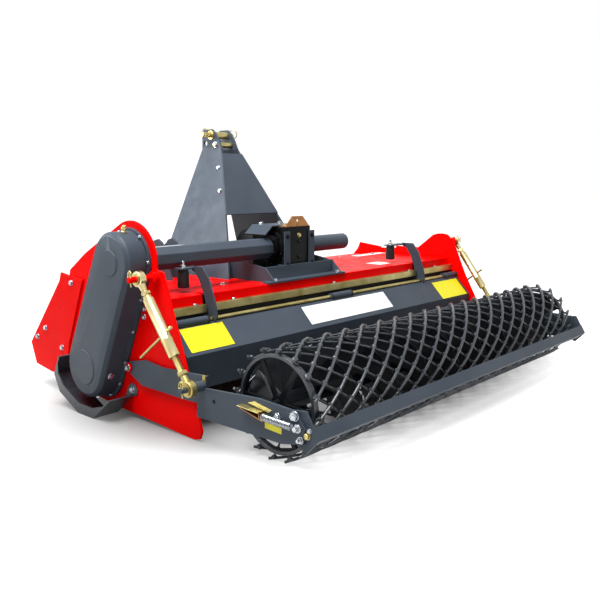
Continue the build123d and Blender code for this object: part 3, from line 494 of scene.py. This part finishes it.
def piece(name, mesh, body, finish, bevel=0.0, segments=2):
    """Ends a mesh in the making as a piece with its finish that rides on a body."""
    bmesh.ops.recalc_face_normals(mesh, faces=mesh.faces)
    data = bpy.data.meshes.new(name)
    mesh.to_mesh(data)
    mesh.free()
    made = bpy.data.objects.new(name, data)
    bpy.context.scene.collection.objects.link(made)
    data.materials.append(FINISH[finish])
    for face in data.polygons:
        face.use_smooth = True
    data.set_sharp_from_angle(angle=BLUNT)
    if bevel:
        edge = made.modifiers.new("Rounded edges", "BEVEL")
        edge.width = bevel * MM
        edge.segments = segments
        edge.limit_method = "ANGLE"
        edge.angle_limit = BLUNT
        edge.harden_normals = True
        edge.use_clamp_overlap = True
    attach(made, body)
    return made


def dress(node, finish, bevel=None, segments=2):
    """Takes a CAD part's surface, rounds its edges and gives it its finish."""
    if bevel is None:
        bevel = bpy.context.scene.burier_sizes.sheet_edge
    source = frame["nodes"][node]
    mesh = bmesh.new()
    mesh.from_mesh(source.data)
    # Points that the CAD export doubled are joined, and nearly flat seams are taken out
    bmesh.ops.remove_doubles(mesh, verts=mesh.verts, dist=2e-5)
    bmesh.ops.dissolve_limit(mesh, angle_limit=radians(0.6), verts=mesh.verts, edges=mesh.edges)
    made = piece("finished_" + node, mesh, source["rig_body"], finish, bevel, segments)
    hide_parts(node)
    return made


class BURIER_OT_body(Operator):
    """Side plates, front plates, deck with a dark sheet under its rear edge as painted shade, and front guard
    """
    bl_idname = "burier.body"
    bl_label = "Body Sheets"

    def execute(self, context):
        for name, _ in SIDES:
            dress("side_plate_" + name, "red", 2.2)
            dress("front_plate_" + name, "red", 2.0)
        dress("deck", "red", 2.4)
        dress("front_guard", "red")
        gussets = bmesh.new()
        for _, side in SIDES:
            plate(gussets, side * (INNER_X - 5),
                  ((560, 470), (560, 486), (592, 512), (880, 512), (905, 470)), side * 5)
        piece("deck_end_flanges", gussets, "root", "red", 1.5)
        # A dark sheet with the rubber finish under the deck's rear edge is painted shade: it hides the gap
        # behind the hinge rod where shade falls
        shade_sheet = bmesh.new()
        plate(shade_sheet, -985, ((522, 406), (526.8, 406), (526.8, 338), (522, 338)), 1970)
        piece("deck_rear_shade_sheet", shade_sheet, "root", "rubber", 1.0)
        return {"FINISHED"}


class BURIER_OT_skids(Operator):
    """Folded skid shoes under both ends of the rotor"""
    bl_idname = "burier.skids"
    bl_label = "Skids"

    def execute(self, context):
        for name, _ in SIDES:
            # The skids take the darker roller paint as painted shade, for the shade that falls on them
            dress("skid_" + name, "wire", 1.4)
        return {"FINISHED"}


class BURIER_OT_chain_case(Operator):
    """Chain case with its flange bolts, breather and oil plugs"""
    bl_idname = "burier.chain_case"
    bl_label = "Chain Case"

    def execute(self, context):
        dress("chain_case", "grey", 2.0)
        bolts = bmesh.new()
        seats = [spot(COUNTERSHAFT_AT, CASE_TOP_BOLTS, radians(turn)) for turn in (22, 62, 128, 178)]
        seats += [spot(ROTOR_AT, CASE_FOOT_BOLTS, radians(turn)) for turn in (-8, -42, -78, -112, -150)]
        down, run = heading(COUNTERSHAFT_AT, ROTOR_AT)
        for out in (1, -1):
            for share in (0.2, 0.5, 0.8):
                reach = out * (CASE_TOP_BOLTS + (CASE_FOOT_BOLTS - CASE_TOP_BOLTS) * share)
                seats.append((COUNTERSHAFT_AT[0] + down.y * run * share + down.z * reach,
                              COUNTERSHAFT_AT[1] + down.z * run * share - down.y * reach))
        for seat in seats:
            bolt(bolts, place(CASE_FLANGE_X, *seat), (-1, 0, 0), 6.5)
        piece("case_flange_bolts", bolts, "root", "zinc")
        plugs = bmesh.new()
        for turn, size, x in ((189, 14, -1062), (258, 10.5, -1058)):
            bolt(plugs, place(x, *spot(ROTOR_AT, 118.5, radians(turn))), outward(radians(turn)), size)
        piece("case_oil_plugs", plugs, "root", "zinc")
        breather = bmesh.new()
        lift = outward(radians(104))
        foot = place(-1050, *spot(COUNTERSHAFT_AT, 109, radians(104)))
        nut(breather, foot, lift, 19, 8)
        turned(breather, foot + lift * 0.008, lift, [(0, 7), (4, 7), (5, 9.5), (9, 10.5), (13, 9.5), (14, 5)])
        nut(breather, foot + lift * 0.022, lift, 13, 6, 0.4)
        piece("case_breather", breather, "root", "gold")
        return {"FINISHED"}


class BURIER_OT_drive(Operator):
    """Gearbox, shaft tubes, input shaft and its guard"""
    bl_idname = "burier.drive"
    bl_label = "Drive Line"

    def execute(self, context):
        dress("drive_tube", "grey", 3.0)
        dress("free_side_tube", "grey", 1.5)
        dress("gearbox", "black", 3.5, 3)
        dress("gearbox_brackets", "grey", 1.2)
        dress("pto_shaft", "turned", 0.6)
        dress("pto_guard", "rubber", 1.5)
        caps = bmesh.new()
        for _, side in SIDES:
            for radius, reach in ((70, 96), (54, 116)):
                for turn in range(20, 380, 60):
                    seat = spot(COUNTERSHAFT_AT, radius, radians(turn))
                    bolt(caps, place(HITCH_X + side * reach, *seat), (side, 0, 0), 5.5, washer=False)
        for z in (628, 560, 520):
            turned(caps, place(HITCH_X, GEARBOX_BACK_Y, z), (0, -1, 0), [(0, 11), (3, 10), (4, 6)], 20)
        piece("gearbox_cap_bolts", caps, "root", "black")
        ridges = bmesh.new()
        for x in (HITCH_X - 50, HITCH_X, HITCH_X + 50):
            slab(ridges, x - 4, x + 4, 625, 786, 689, 6)
        piece("gearbox_ridges", ridges, "root", "black", 2.0)
        plug = bmesh.new()
        bolt(plug, place(HITCH_X, GEARBOX_BACK_Y, 652), (0, -1, 0), 9)
        bolt(plug, place(HITCH_X - 62, 612, 697), (0, 0, 1), 8)
        piece("gearbox_plugs", plug, "root", "gold")
        dark = bmesh.new()
        for _, side in SIDES:
            for z in (530, 650):
                bolt(dark, place(HITCH_X + side * 79, 580, z), (0, -1, 0), 8.5)
        piece("bracket_bolts", dark, "root", "black")
        return {"FINISHED"}


class BURIER_OT_console(Operator):
    """Gearbox base with its rails, stay plate and hose bracket"""
    bl_idname = "burier.console"
    bl_label = "Gearbox Base"

    def execute(self, context):
        dress("console", "grey", 1.8)
        dress("hitch_stay", "grey", 1.6)
        dress("hose_bracket", "bronze", 1.0)
        bolts = bmesh.new()
        for _, side in SIDES:
            bolt(bolts, place(HITCH_X + side * 203.7, 537, BASE_TOP_Z), (0, 0, 1), 12.5)
            bolt(bolts, place(HITCH_X + side * 193.2, 900, BASE_TOP_Z), (0, 0, 1), 11)
            bolt(bolts, place(HITCH_X + side * 222, 826, 523), (side, 0, 0), 11)
        for x in (-266, -149):
            bolt(bolts, place(x, 745, 697), (0, 0, 1), 10)
        piece("base_bolts", bolts, "root", "zinc")
        return {"FINISHED"}


class BURIER_OT_headstock(Operator):
    """Headstock plates, cover and top link pins"""
    bl_idname = "burier.headstock"
    bl_label = "Headstock"

    def execute(self, context):
        for name, _ in SIDES:
            dress("hitch_plate_" + name, "grey", 1.6)
        dress("hitch_rear_cover", "grey", 1.2)
        dress("top_link_pins", "gold", 1.2)
        bolts = bmesh.new()
        for _, side in SIDES:
            out = Vector((side * cos(MAST_LEAN), 0, sin(MAST_LEAN)))
            for y, z in ((1006, 945), (954, 841)):
                reach = EAR_OUT + (MAST_KNEE_Z - z) * tan(MAST_LEAN)
                bolt(bolts, place(HITCH_X + side * reach, y, z), out, 9)
            bolt(bolts, place(HITCH_X + side * EAR_OUT, *EAR_BOLT_AT), (side, 0, 0), 12)
        piece("headstock_bolts", bolts, "root", "zinc")
        pins = bmesh.new()
        for side, reach in ((-1, EAR_OUT + 46), (1, EAR_OUT + 14)):
            end = place(HITCH_X + side * reach, *TOP_PIN_AT)
            linch_pin(pins, end, ((0, -0.022, -0.004), (0, 0.026, 0.005)), 3.4,
                      (0, -0.02, 0.008), (1, 0.5, 0.2), 19, 2.1)
            collar(pins, place(HITCH_X + side * EAR_OUT, *TOP_PIN_AT), (side, 0, 0),
                   [(0.2, 12.8), (0.2, 21), (4, 21), (4, 12.8)], 28)
        # Spacer tubes between the two ears
        half = EAR_OUT - 11
        for seat, bore, radius in ((TOP_PIN_AT, 12.8, 16.5), (EAR_BOLT_AT, 8.3, 13)):
            collar(pins, place(HITCH_X - half, *seat), (1, 0, 0),
                   [(0, bore), (0, radius), (2 * half, radius), (2 * half, bore)], 28)
        piece("headstock_linch_pins", pins, "root", "gold")
        return {"FINISHED"}


class BURIER_OT_lower_linkage(Operator):
    """Lower linkage brackets with their pins"""
    bl_idname = "burier.lower_linkage"
    bl_label = "Lower Linkage"

    def execute(self, context):
        dress("lower_brackets", "grey", 1.8)
        dress("lower_pins", "gold", 1.5)
        pins = bmesh.new()
        for _, side in SIDES:
            end = place(HITCH_X + side * (LOWER_PIN_OUT + 50), *LOWER_PIN_AT)
            linch_pin(pins, end, ((0, 0, 0.026), (0, 0, -0.024)), 3.5,
                      (0, 0.004, 0.014), (side, 0.3, 0), 18, 2.0)
        piece("lower_linch_pins", pins, "root", "gold")
        return {"FINISHED"}


class BURIER_OT_rotor(Operator):
    """Rotor with its hoe blades and the bearing at its right end"""
    bl_idname = "burier.rotor"
    bl_label = "Rotor"

    def execute(self, context):
        dress("rotor_shaft", "black", 1.5)
        dress("rotor_blades", "forged", 1.2)
        dress("rotor_bearing", "black", 3.0, 3)
        bolts = bmesh.new()
        for k in range(4):
            bolt(bolts, place(1015, *spot(ROTOR_AT, 69, radians(45 + 90 * k))), (1, 0, 0), 9)
        turned(bolts, place(1045, *ROTOR_AT), (1, 0, 0), [(0, 14), (3, 14), (5, 9)])
        piece("bearing_bolts", bolts, "root", "zinc")
        return {"FINISHED"}


class BURIER_OT_grid(Operator):
    """Selection grid between the rotor and the hood"""
    bl_idname = "burier.grid"
    bl_label = "Selection Grid"

    def execute(self, context):
        dress("selection_grid", "dark", 1.5)
        return {"FINISHED"}


class BURIER_OT_hood(Operator):
    """Rear hood with its hinge, sealing strip and rubber buffers"""
    bl_idname = "burier.hood"
    bl_label = "Rear Hood"

    def execute(self, context):
        dress("hood", "grey", 1.4)
        dress("hinge_rod", "gold", 0.8)
        dress("sealing_strip", "gold", 1.5)
        rubbers = bmesh.new()
        nuts = bmesh.new()
        for x in BUFFER_X:
            foot = place(x, *BUFFER_AT)
            turned(rubbers, foot, (0, 0, 1),
                   [(0, 18), (1.5, 22), (6, 23.3), (60, 21.5), (66, 20.5), (70, 18)], 32)
            bolt(nuts, foot + Vector((0, 0, 0.076)), (0, 0, 1), 12, stub=14)
        made = piece("rubber_buffers", rubbers, "hood", "rubber")
        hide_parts("hood_buffers")
        piece("buffer_nuts", nuts, "hood", "zinc")
        clamps = bmesh.new()
        for start, end in ((-985, -806), (-95, 53), (848, 985)):
            for x in (start + 1, end - 7):
                collar(clamps, place(x, *HOOD_HINGE_AT), (1, 0, 0),
                       [(0, 8.6), (0, 16.2), (6, 16.2), (6, 8.6)], 24)
        piece("hinge_sleeve_ends", clamps, "hood", "rubber")
        return {"FINISHED"}


class BURIER_OT_roller_arms(Operator):
    """Roller arms, bearings, scraper, its coil springs and the fittings on the arms"""
    bl_idname = "burier.roller_arms"
    bl_label = "Roller Arms"

    def execute(self, context):
        sizes = context.scene.burier_sizes
        for name, _ in SIDES:
            dress("roller_arm_" + name, "grey", 1.4)
        dress("roller_bearings", "black", 2.5)
        dress("scraper", "grey", 1.2)
        springs, bolts, brackets, labels = [bmesh.new() for _ in range(4)]
        tabs, holes, heads, folds = [bmesh.new() for _ in range(4)]
        for _, side in SIDES:
            first = place(side * SPRING_X, *SPRING_FROM)
            last = place(side * SPRING_X, *SPRING_TO)
            way = (last - first).normalized()
            across, up, _ = square_to(way)
            hook = way * SPRING_HOOK * MM
            coiled = last - first - 2 * hook
            steps = SPRING_TURNS * SPRING_STEPS
            points = [first, first + hook / 2]
            for k in range(steps + 1):
                out = spoke(across, up, 2 * pi * k / SPRING_STEPS)
                points.append(first + hook + coiled * (k / steps) + out * COIL_RADIUS * MM)
            points += [last - hook / 2, last]
            rod(springs, points, sizes.spring_wire / 2, 6)
            eye = place(side * SPRING_X, *SPRING_EYE_AT)
            rod(springs, ring_path(eye, (1, 0, 0), 11), sizes.spring_wire * 0.7, closed=True)
            axis = (side, 0, 0)
            for x, seat, size, stub in (
                    (ARM_FACE_X, (-154, 203), 14, 0), (ARM_FACE_X, (-84, 187), 10, 0),
                    (ARM_FACE_X + 16, SPRING_EYE_AT, 9, 0), (ARM_FACE_X, (-176, 134), 10, 8),
                    (LEVER_FACE_X, (-203, 166), 7, 0)):
                bolt(bolts, place(side * x, *seat), axis, size, stub=stub)
            bolt(heads, place(side * LEVER_FACE_X, -194, 149), axis, 11)
            # Plates stand 0.2 mm off the arm, so that the two faces don't flicker
            skin_x = side * (ARM_FACE_X + 0.2)
            plate(brackets, skin_x, ((66, 194), (-26, 189), (-26, 192), (66, 197)), side * 28)
            plate(folds, skin_x, ((60, 187), (-42, 164), (-42, 167), (60, 190)), side * 22)
            plate(folds, skin_x, ((-23, 189), (-26, 189), (-26, 170), (-23, 170)), side * 22)
            turned(bolts, place(side * ARM_FACE_X, *SPRING_EYE_AT), axis, [(0, 8), (28, 8), (29, 7)], 16)
            plate(brackets, skin_x, ((42, 204), (13, 214), (-61, 201), (-48, 190)), side * 3)
            plate(labels, skin_x, ((-30, 138), (-30, 157), (-100, 153), (-100, 134)), side * FILM)
            plate(tabs, side * LEVER_FACE_X, ((252, 226), (266, 226), (266, 250), (252, 250)), side * 6)
            turned(holes, place(side * (ARM_FACE_X + 0.1), 205, 172), axis, [(0, 7), (0.3, 7)], 20)
            bolt(bolts, place(side * 1026, *ARM_PIVOT_AT), axis, 12)
        made = piece("coil_springs", springs, "roller_frame", "zinc")
        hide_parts("scraper_springs")
        piece("arm_bolts", bolts, "roller_frame", "zinc")
        made = piece("spring_hook_plates", brackets, "roller_frame", "gold", 0.6)
        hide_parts("spring_anchors")
        piece("spring_hook_folds", folds, "roller_frame", "bronze", 0.6)
        piece("arm_stickers", labels, "roller_frame", "yellow")
        piece("arm_tabs", tabs, "roller_frame", "gold", 0.8)
        piece("arm_holes", holes, "roller_frame", "hole")
        piece("lever_bolt_heads", heads, "roller_frame", "gold")
        return {"FINISHED"}


class BURIER_OT_roller(Operator):
    """Mesh roller: two layers of helical wire over a hub, end rings and an auger flight"""
    bl_idname = "burier.roller"
    bl_label = "Mesh Roller"

    def execute(self, context):
        sizes = context.scene.burier_sizes
        # The hub, end discs and flights take the near-black finish as painted shade of the roller's inside
        dress("roller_core", "dark", 1.0)
        hoops = bmesh.new()
        for _, side in SIDES:
            collar(hoops, place(side * 929, *ROLLER_AT), (side, 0, 0),
                   [(0, 152), (0, 163.5), (21, 163.5), (21, 152)], 96)
        piece("roller_end_hoops", hoops, "roller", "wire", 1.2)
        # The second flight is the first one turned half way round the axle; its near-black finish is painted
        # shade, like the first flight's
        flight = dress("roller_auger", "dark", 0.0)
        again = bmesh.new()
        again.from_mesh(flight.data)
        centre = place(0, *ROLLER_AT)
        for vert in again.verts:
            vert.co.y = 2 * centre.y - vert.co.y
            vert.co.z = 2 * centre.z - vert.co.z
        piece("roller_auger_second_flight", again, "roller", "dark")
        for name, radius, gauge, hand, half, node in (
                ("outer_wires", OUTER_WIRES_R, sizes.outer_wire, -1, OUTER_WIRE_END, "mesh_outer"),
                ("inner_wires", INNER_WIRES_R, sizes.inner_wire, 1, INNER_WIRE_END, "mesh_inner")):
            wires = bmesh.new()
            for start in range(WIRES):
                points = []
                for k in range(sizes.wire_steps + 1):
                    x = -half + 2 * half * k / sizes.wire_steps
                    turn = 2 * pi / WIRES * (start + WIRE_PHASE + hand * x / WIRE_STEP)
                    points.append(place(x, *spot(ROLLER_AT, radius, turn)))
                rod(wires, points, gauge / 2, 8)
            made = piece(name, wires, "roller", "wire")
            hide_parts(node)
        # The layers cross twice in each step along the roller, and the beads at both ends are larger
        beads = bmesh.new()
        count = round(LAST_WELD / (WIRE_STEP / 2))
        for k in range(-count, count + 1):
            x = k * WIRE_STEP / 2
            grown = 1.2 if abs(k) == count else 1.0
            for start in range(WIRES):
                turn = 2 * pi / WIRES * (start + WIRE_PHASE - x / WIRE_STEP)
                out = outward(turn)
                middle = place(x, *spot(ROLLER_AT, OUTER_WIRES_R, turn))
                turned(beads, middle - out * 0.009, out,
                       [(0, 6 * grown), (4, 9.4 * grown), (10, 8.4 * grown), (13.2, 3.8)], 8)
        piece("wire_welds", beads, "roller", "wire")
        return {"FINISHED"}


def link_end(origin, way, bore, lip, ridges, nut_at, nut_height):
    """Starts one end of an adjusting link: its eye and ball, neck, thread and lock nut."""
    steel = bmesh.new()
    collar(steel, origin, (1, 0, 0), LINK_EYE, 36)
    collar(steel, origin, (1, 0, 0), [(-12, bore), (-13, lip), (-8, 17.2), (8, 17.2), (13, lip), (12, bore)],
           28)
    turned(steel, origin + way * 0.024, way, [(0, 14), (8, 13), (18, 11.6), (24, 11)], 24)
    turned(steel, origin, way, [(44 + 2 * k, 11.0 if k % 2 else 9.6) for k in range(ridges)], 20)
    nut(steel, origin + way * nut_at * MM, way, 31, nut_height)
    return steel


class BURIER_OT_links(Operator):
    """Adjusting links: eyes, lock nuts, threaded rods and their tube with a handle"""
    bl_idname = "burier.links"
    bl_label = "Adjusting Links"

    def execute(self, context):
        down, _ = heading(LINK_TOP_AT, LINK_FOOT_AT)
        for name, side in SIDES:
            link_x = LINK_X[name]
            top = place(side * link_x, *LINK_TOP_AT)
            foot = place(side * link_x, *LINK_FOOT_AT)
            tube = link_end(top, down, 11.3, 14.4, 19, 54, 12)
            turned(tube, top, down, LINK_TUBE, 32)
            made = piece("finished_link_tube_" + name, tube, "link_tube_" + name, "pale_gold")
            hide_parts("link_tube_" + name)
            handle = bmesh.new()
            middle = top + down * 0.218
            cross = Vector((0, -down.z, down.y))
            rod(handle, [middle - cross * 0.04, middle + cross * 0.172], 4.8, 12)
            turned(handle, middle - cross * 0.04, -cross, [(0, 7), (6, 7), (8, 5)], 16)
            piece("link_handle_" + name, handle, "link_tube_" + name, "gold")
            screw = link_end(foot, -down, 13.9, 15, 85, 50, 15)
            made = piece("finished_link_rod_" + name, screw, "link_rod_" + name, "gold")
            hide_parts("link_rod_" + name)
            for label, origin, end_x, body, radius in (
                    ("top", top, link_x + LINK_PIN_OUT, "root", 11),
                    ("foot", foot, link_x + LINK_PIN_OUT - 4, "roller_frame", 10)):
                fittings = bmesh.new()
                centre = Vector((side * (end_x - 8) * MM, origin.y, origin.z))
                linch_pin(fittings, centre, ((0, 0.006, 0.028), (0, -0.004, -0.024)), 2.6,
                          (0, 0.004, 0.016), (side, 0.25, 0.1), 15, 1.6)
                collar(fittings, Vector((side * (link_x + 14.5) * MM, origin.y, origin.z)), (side, 0, 0),
                       [(0, radius + 0.3), (0, 20), (3, 20), (3, radius + 0.3)], 24)
                piece("link_linch_pin_" + label + "_" + name, fittings, body, "gold")
        return {"FINISHED"}


class BURIER_OT_fasteners(Operator):
    """Bolts of the side plates, deck and skids"""
    bl_idname = "burier.fasteners"
    bl_label = "Body Bolts"

    def execute(self, context):
        bolts = bmesh.new()
        for _, side in SIDES:
            axis = (side, 0, 0)
            for y, z, size in ((604, 430, 9), (608, 400, 10)):
                bolt(bolts, place(side * OUTER_X, y, z), axis, size)
            for y, z in ((1306, 266), (1378, 218), (1177, 199)):
                bolt(bolts, place(side * (OUTER_X + 8), y, z), axis, 10)
            bolt(bolts, place(side * (OUTER_X + 8), 1080 if side < 0 else 1113, 480), axis, 10)
            bolt(bolts, place(side * (OUTER_X + 4), 690, 112), axis, 11)
        for x in (-839, -646, -30, 577, 824):
            bolt(bolts, place(x, 518, 431), (0, 0, 1), 8)
        bolt(bolts, place(-567, 664, DECK_TOP_Z), (0, 0, 1), 11)
        for x in (-400, 200, 560, 860):
            bolt(bolts, place(x, 960, DECK_TOP_Z), (0, 0, 1), 9)
        piece("body_bolts", bolts, "root", "zinc")
        return {"FINISHED"}


class BURIER_OT_stickers(Operator):
    """Blank vinyl stickers on the hood and deck"""
    bl_idname = "burier.stickers"
    bl_label = "Blank Stickers"

    def execute(self, context):
        edge, _ = heading(HOOD_FACE_TOP_AT, HOOD_FACE_FOOT_AT)
        out = Vector((0, edge.z, -edge.y))
        origin = place(0, *HOOD_FACE_TOP_AT)

        def on_hood(x, reach):
            """A point just off the hood's face, from its place along X and down from the upper edge."""
            return origin + Vector((x * MM, 0, 0)) + edge * reach * MM + out * 0.0004

        yellow = bmesh.new()
        white = bmesh.new()
        for mesh, x0, x1, low, high in ((yellow, -955, -750, 10, 112), (yellow, 715, 962, 18, 124),
                                        (white, -308, 280, 14, 104)):
            corners = [on_hood(x0, low), on_hood(x1, low), on_hood(x1, high), on_hood(x0, high)]
            prism(mesh, corners, out * FILM * MM)
        piece("hood_stickers_yellow", yellow, "hood", "yellow")
        piece("hood_sticker_white", white, "hood", "white")
        deck = bmesh.new()
        for x0, x1, y0, y1 in ((690, 960, 930, 985), (440, 540, 600, 690)):
            slab(deck, x0, x1, y0, y1, DECK_TOP_Z + 0.3, FILM)
        piece("deck_stickers_white", deck, "root", "white")
        # The sticker on the drive tube is grey as a painted sheen of the tube's top
        tube = bmesh.new()
        slab(tube, -925, -765, COUNTERSHAFT_AT[0] - 17, COUNTERSHAFT_AT[0] + 17, 641.3, FILM)
        piece("tube_sticker_sheen_grey", tube, "root", "sheen_grey")
        return {"FINISHED"}


def background_rays(tree):
    """One where the camera, a reflection or a clear piece looks, and nought where a surface is lit."""
    seen = add_node(tree, "ShaderNodeLightPath")
    first = add_node(tree, "ShaderNodeMath", {0: seen.outputs["Is Camera Ray"],
                                              1: seen.outputs["Is Glossy Ray"]}, operation="MAXIMUM")
    both = add_node(tree, "ShaderNodeMath", {0: first.outputs[0],
                                             1: seen.outputs["Is Transmission Ray"]}, operation="MAXIMUM")
    return both.outputs[0]


class BURIER_OT_stage(Operator):
    """White studio floor with a painted shadow under the machine, soft light, background and camera"""
    bl_idname = "burier.stage"
    bl_label = "Stage"

    def execute(self, context):
        scene = context.scene
        ground = bmesh.new()
        bmesh.ops.create_grid(ground, x_segments=1, y_segments=1, size=30)
        data = bpy.data.meshes.new("studio_floor")
        ground.to_mesh(data)
        ground.free()
        floor = bpy.data.objects.new("studio_floor", data)
        scene.collection.objects.link(floor)
        paint = bpy.data.materials.new("Studio floor with painted shadow")
        tree = emptied_tree(paint)
        where = add_node(tree, "ShaderNodeTexCoord").outputs["Object"]
        # The floor keeps the machine's real shadow; its colour is also painted darker under the machine as a
        # painted shadow, and goes over to a paler grey and the white background further off, along an ellipse
        # that is as long and wide as the machine needs
        shifted = add_node(tree, "ShaderNodeVectorMath", {0: where, 1: (0.0, -0.1, 0.0)}, operation="ADD")
        flat = add_node(tree, "ShaderNodeVectorMath", {0: shifted.outputs[0], 1: (1 / 1.3, 1 / 0.9, 0.0)},
                        operation="MULTIPLY")
        away = add_node(tree, "ShaderNodeVectorMath", {0: flat.outputs[0]}, operation="LENGTH")
        fade = add_node(tree, "ShaderNodeMapRange", {"Value": away.outputs["Value"], "From Min": 0.66,
                                                     "From Max": 1.36}, interpolation_type="SMOOTHSTEP")
        strength = add_node(tree, "ShaderNodeMath", {0: background_rays(tree), 1: fade.outputs[0]},
                            operation="MULTIPLY")
        glow = add_node(tree, "ShaderNodeEmission", {"Color": (1, 1, 1, 1), "Strength": strength.outputs[0]})
        # Painted shadow: the floor's colour is darker under the machine and paler round it
        tone = add_node(tree, "ShaderNodeMix", {"Factor": fade.outputs[0], 6: (*[FLOOR_SHADOW_GREY] * 3, 1),
                                                7: (*[FLOOR_ROUND] * 3, 1)}, data_type="RGBA")
        matt = add_node(tree, "ShaderNodeBsdfDiffuse", {"Color": tone.outputs[2]})
        both = add_node(tree, "ShaderNodeAddShader", {0: glow.outputs[0], 1: matt.outputs[0]})
        add_node(tree, "ShaderNodeOutputMaterial", {"Surface": both.outputs[0]})
        data.materials.append(paint)

        world = bpy.data.worlds.new("Studio")
        scene.world = world
        tree = emptied_tree(world)
        level = add_node(tree, "ShaderNodeMapRange", {"Value": background_rays(tree), "To Min": SKY_FILL})
        sky = add_node(tree, "ShaderNodeBackground", {"Color": (1, 1, 1, 1), "Strength": level.outputs[0]})
        add_node(tree, "ShaderNodeOutputWorld", {"Surface": sky.outputs[0]})

        # The lamp above lights the machine; the cool one on the left only shows as a gloss
        white = (1.0, 1.0, 1.0)
        cool = (0.8, 0.9, 1.0)
        for name, where, aim, size, power, colour, lights_surfaces in (
                ("softbox_above", (-1.7, -0.2, 4.0), (0, 0, 0.2), 3.0, 350, white, True),
                ("softbox_left", (-2.9, 2.9, 2.1), (-0.3, 0.3, 0.6), 2.2, 150, cool, False)):
            lamp = bpy.data.lights.new(name, "AREA")
            lamp.shape = "DISK"
            lamp.size = size
            lamp.energy = power
            lamp.color = colour
            holder = bpy.data.objects.new(name, lamp)
            holder.location = where
            holder.rotation_euler = (Vector(aim) - Vector(where)).to_track_quat("-Z", "Y").to_euler()
            holder.visible_diffuse = lights_surfaces
            scene.collection.objects.link(holder)

        lens = bpy.data.cameras.new("camera")
        lens.lens = CAMERA_LENS
        lens.sensor_width = 36
        lens.clip_start = 0.05
        lens.clip_end = 100
        view = bpy.data.objects.new("camera", lens)
        view.location = Vector(CAMERA_PLACE) + Vector((0, AXLE_Y * MM, 0))
        view.rotation_euler = (CAMERA_TILT, 0, CAMERA_HEADING)
        scene.collection.objects.link(view)
        scene.camera = view
        scene.view_settings.view_transform = "Standard"
        return {"FINISHED"}


PIECES = (BURIER_OT_body, BURIER_OT_skids, BURIER_OT_chain_case, BURIER_OT_drive, BURIER_OT_console,
          BURIER_OT_headstock, BURIER_OT_lower_linkage, BURIER_OT_rotor, BURIER_OT_grid, BURIER_OT_hood,
          BURIER_OT_roller_arms, BURIER_OT_roller, BURIER_OT_links, BURIER_OT_fasteners, BURIER_OT_stickers,
          BURIER_OT_stage)


class BURIER_PT_pieces(Panel):
    """The machine's pieces, sizes and colours"""
    bl_idname = "BURIER_PT_pieces"
    bl_label = "Stone Burier"
    bl_space_type = "VIEW_3D"
    bl_region_type = "UI"
    bl_category = "Burier"

    def draw(self, context):
        layout = self.layout
        for made in PIECES:
            layout.operator(made.bl_idname)
        for group in (context.scene.burier_sizes, context.scene.burier_colours):
            box = layout.box()
            for name in group.__annotations__:
                box.prop(group, name)


CLASSES = (BurierColours, BurierSizes, *PIECES, BURIER_PT_pieces)


def register():
    for made in CLASSES:
        bpy.utils.register_class(made)
    bpy.types.Scene.burier_colours = PointerProperty(type=BurierColours)
    bpy.types.Scene.burier_sizes = PointerProperty(type=BurierSizes)


def unregister():
    del bpy.types.Scene.burier_sizes
    del bpy.types.Scene.burier_colours
    for made in reversed(CLASSES):
        bpy.utils.unregister_class(made)


def main():
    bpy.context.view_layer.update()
    register()
    FINISH.update(make_finishes(bpy.context.scene.burier_colours))
    for made in PIECES:
        group, name = made.bl_idname.split(".")
        getattr(getattr(bpy.ops, group), name)()
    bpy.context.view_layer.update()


if __name__ == "__main__":
    main()
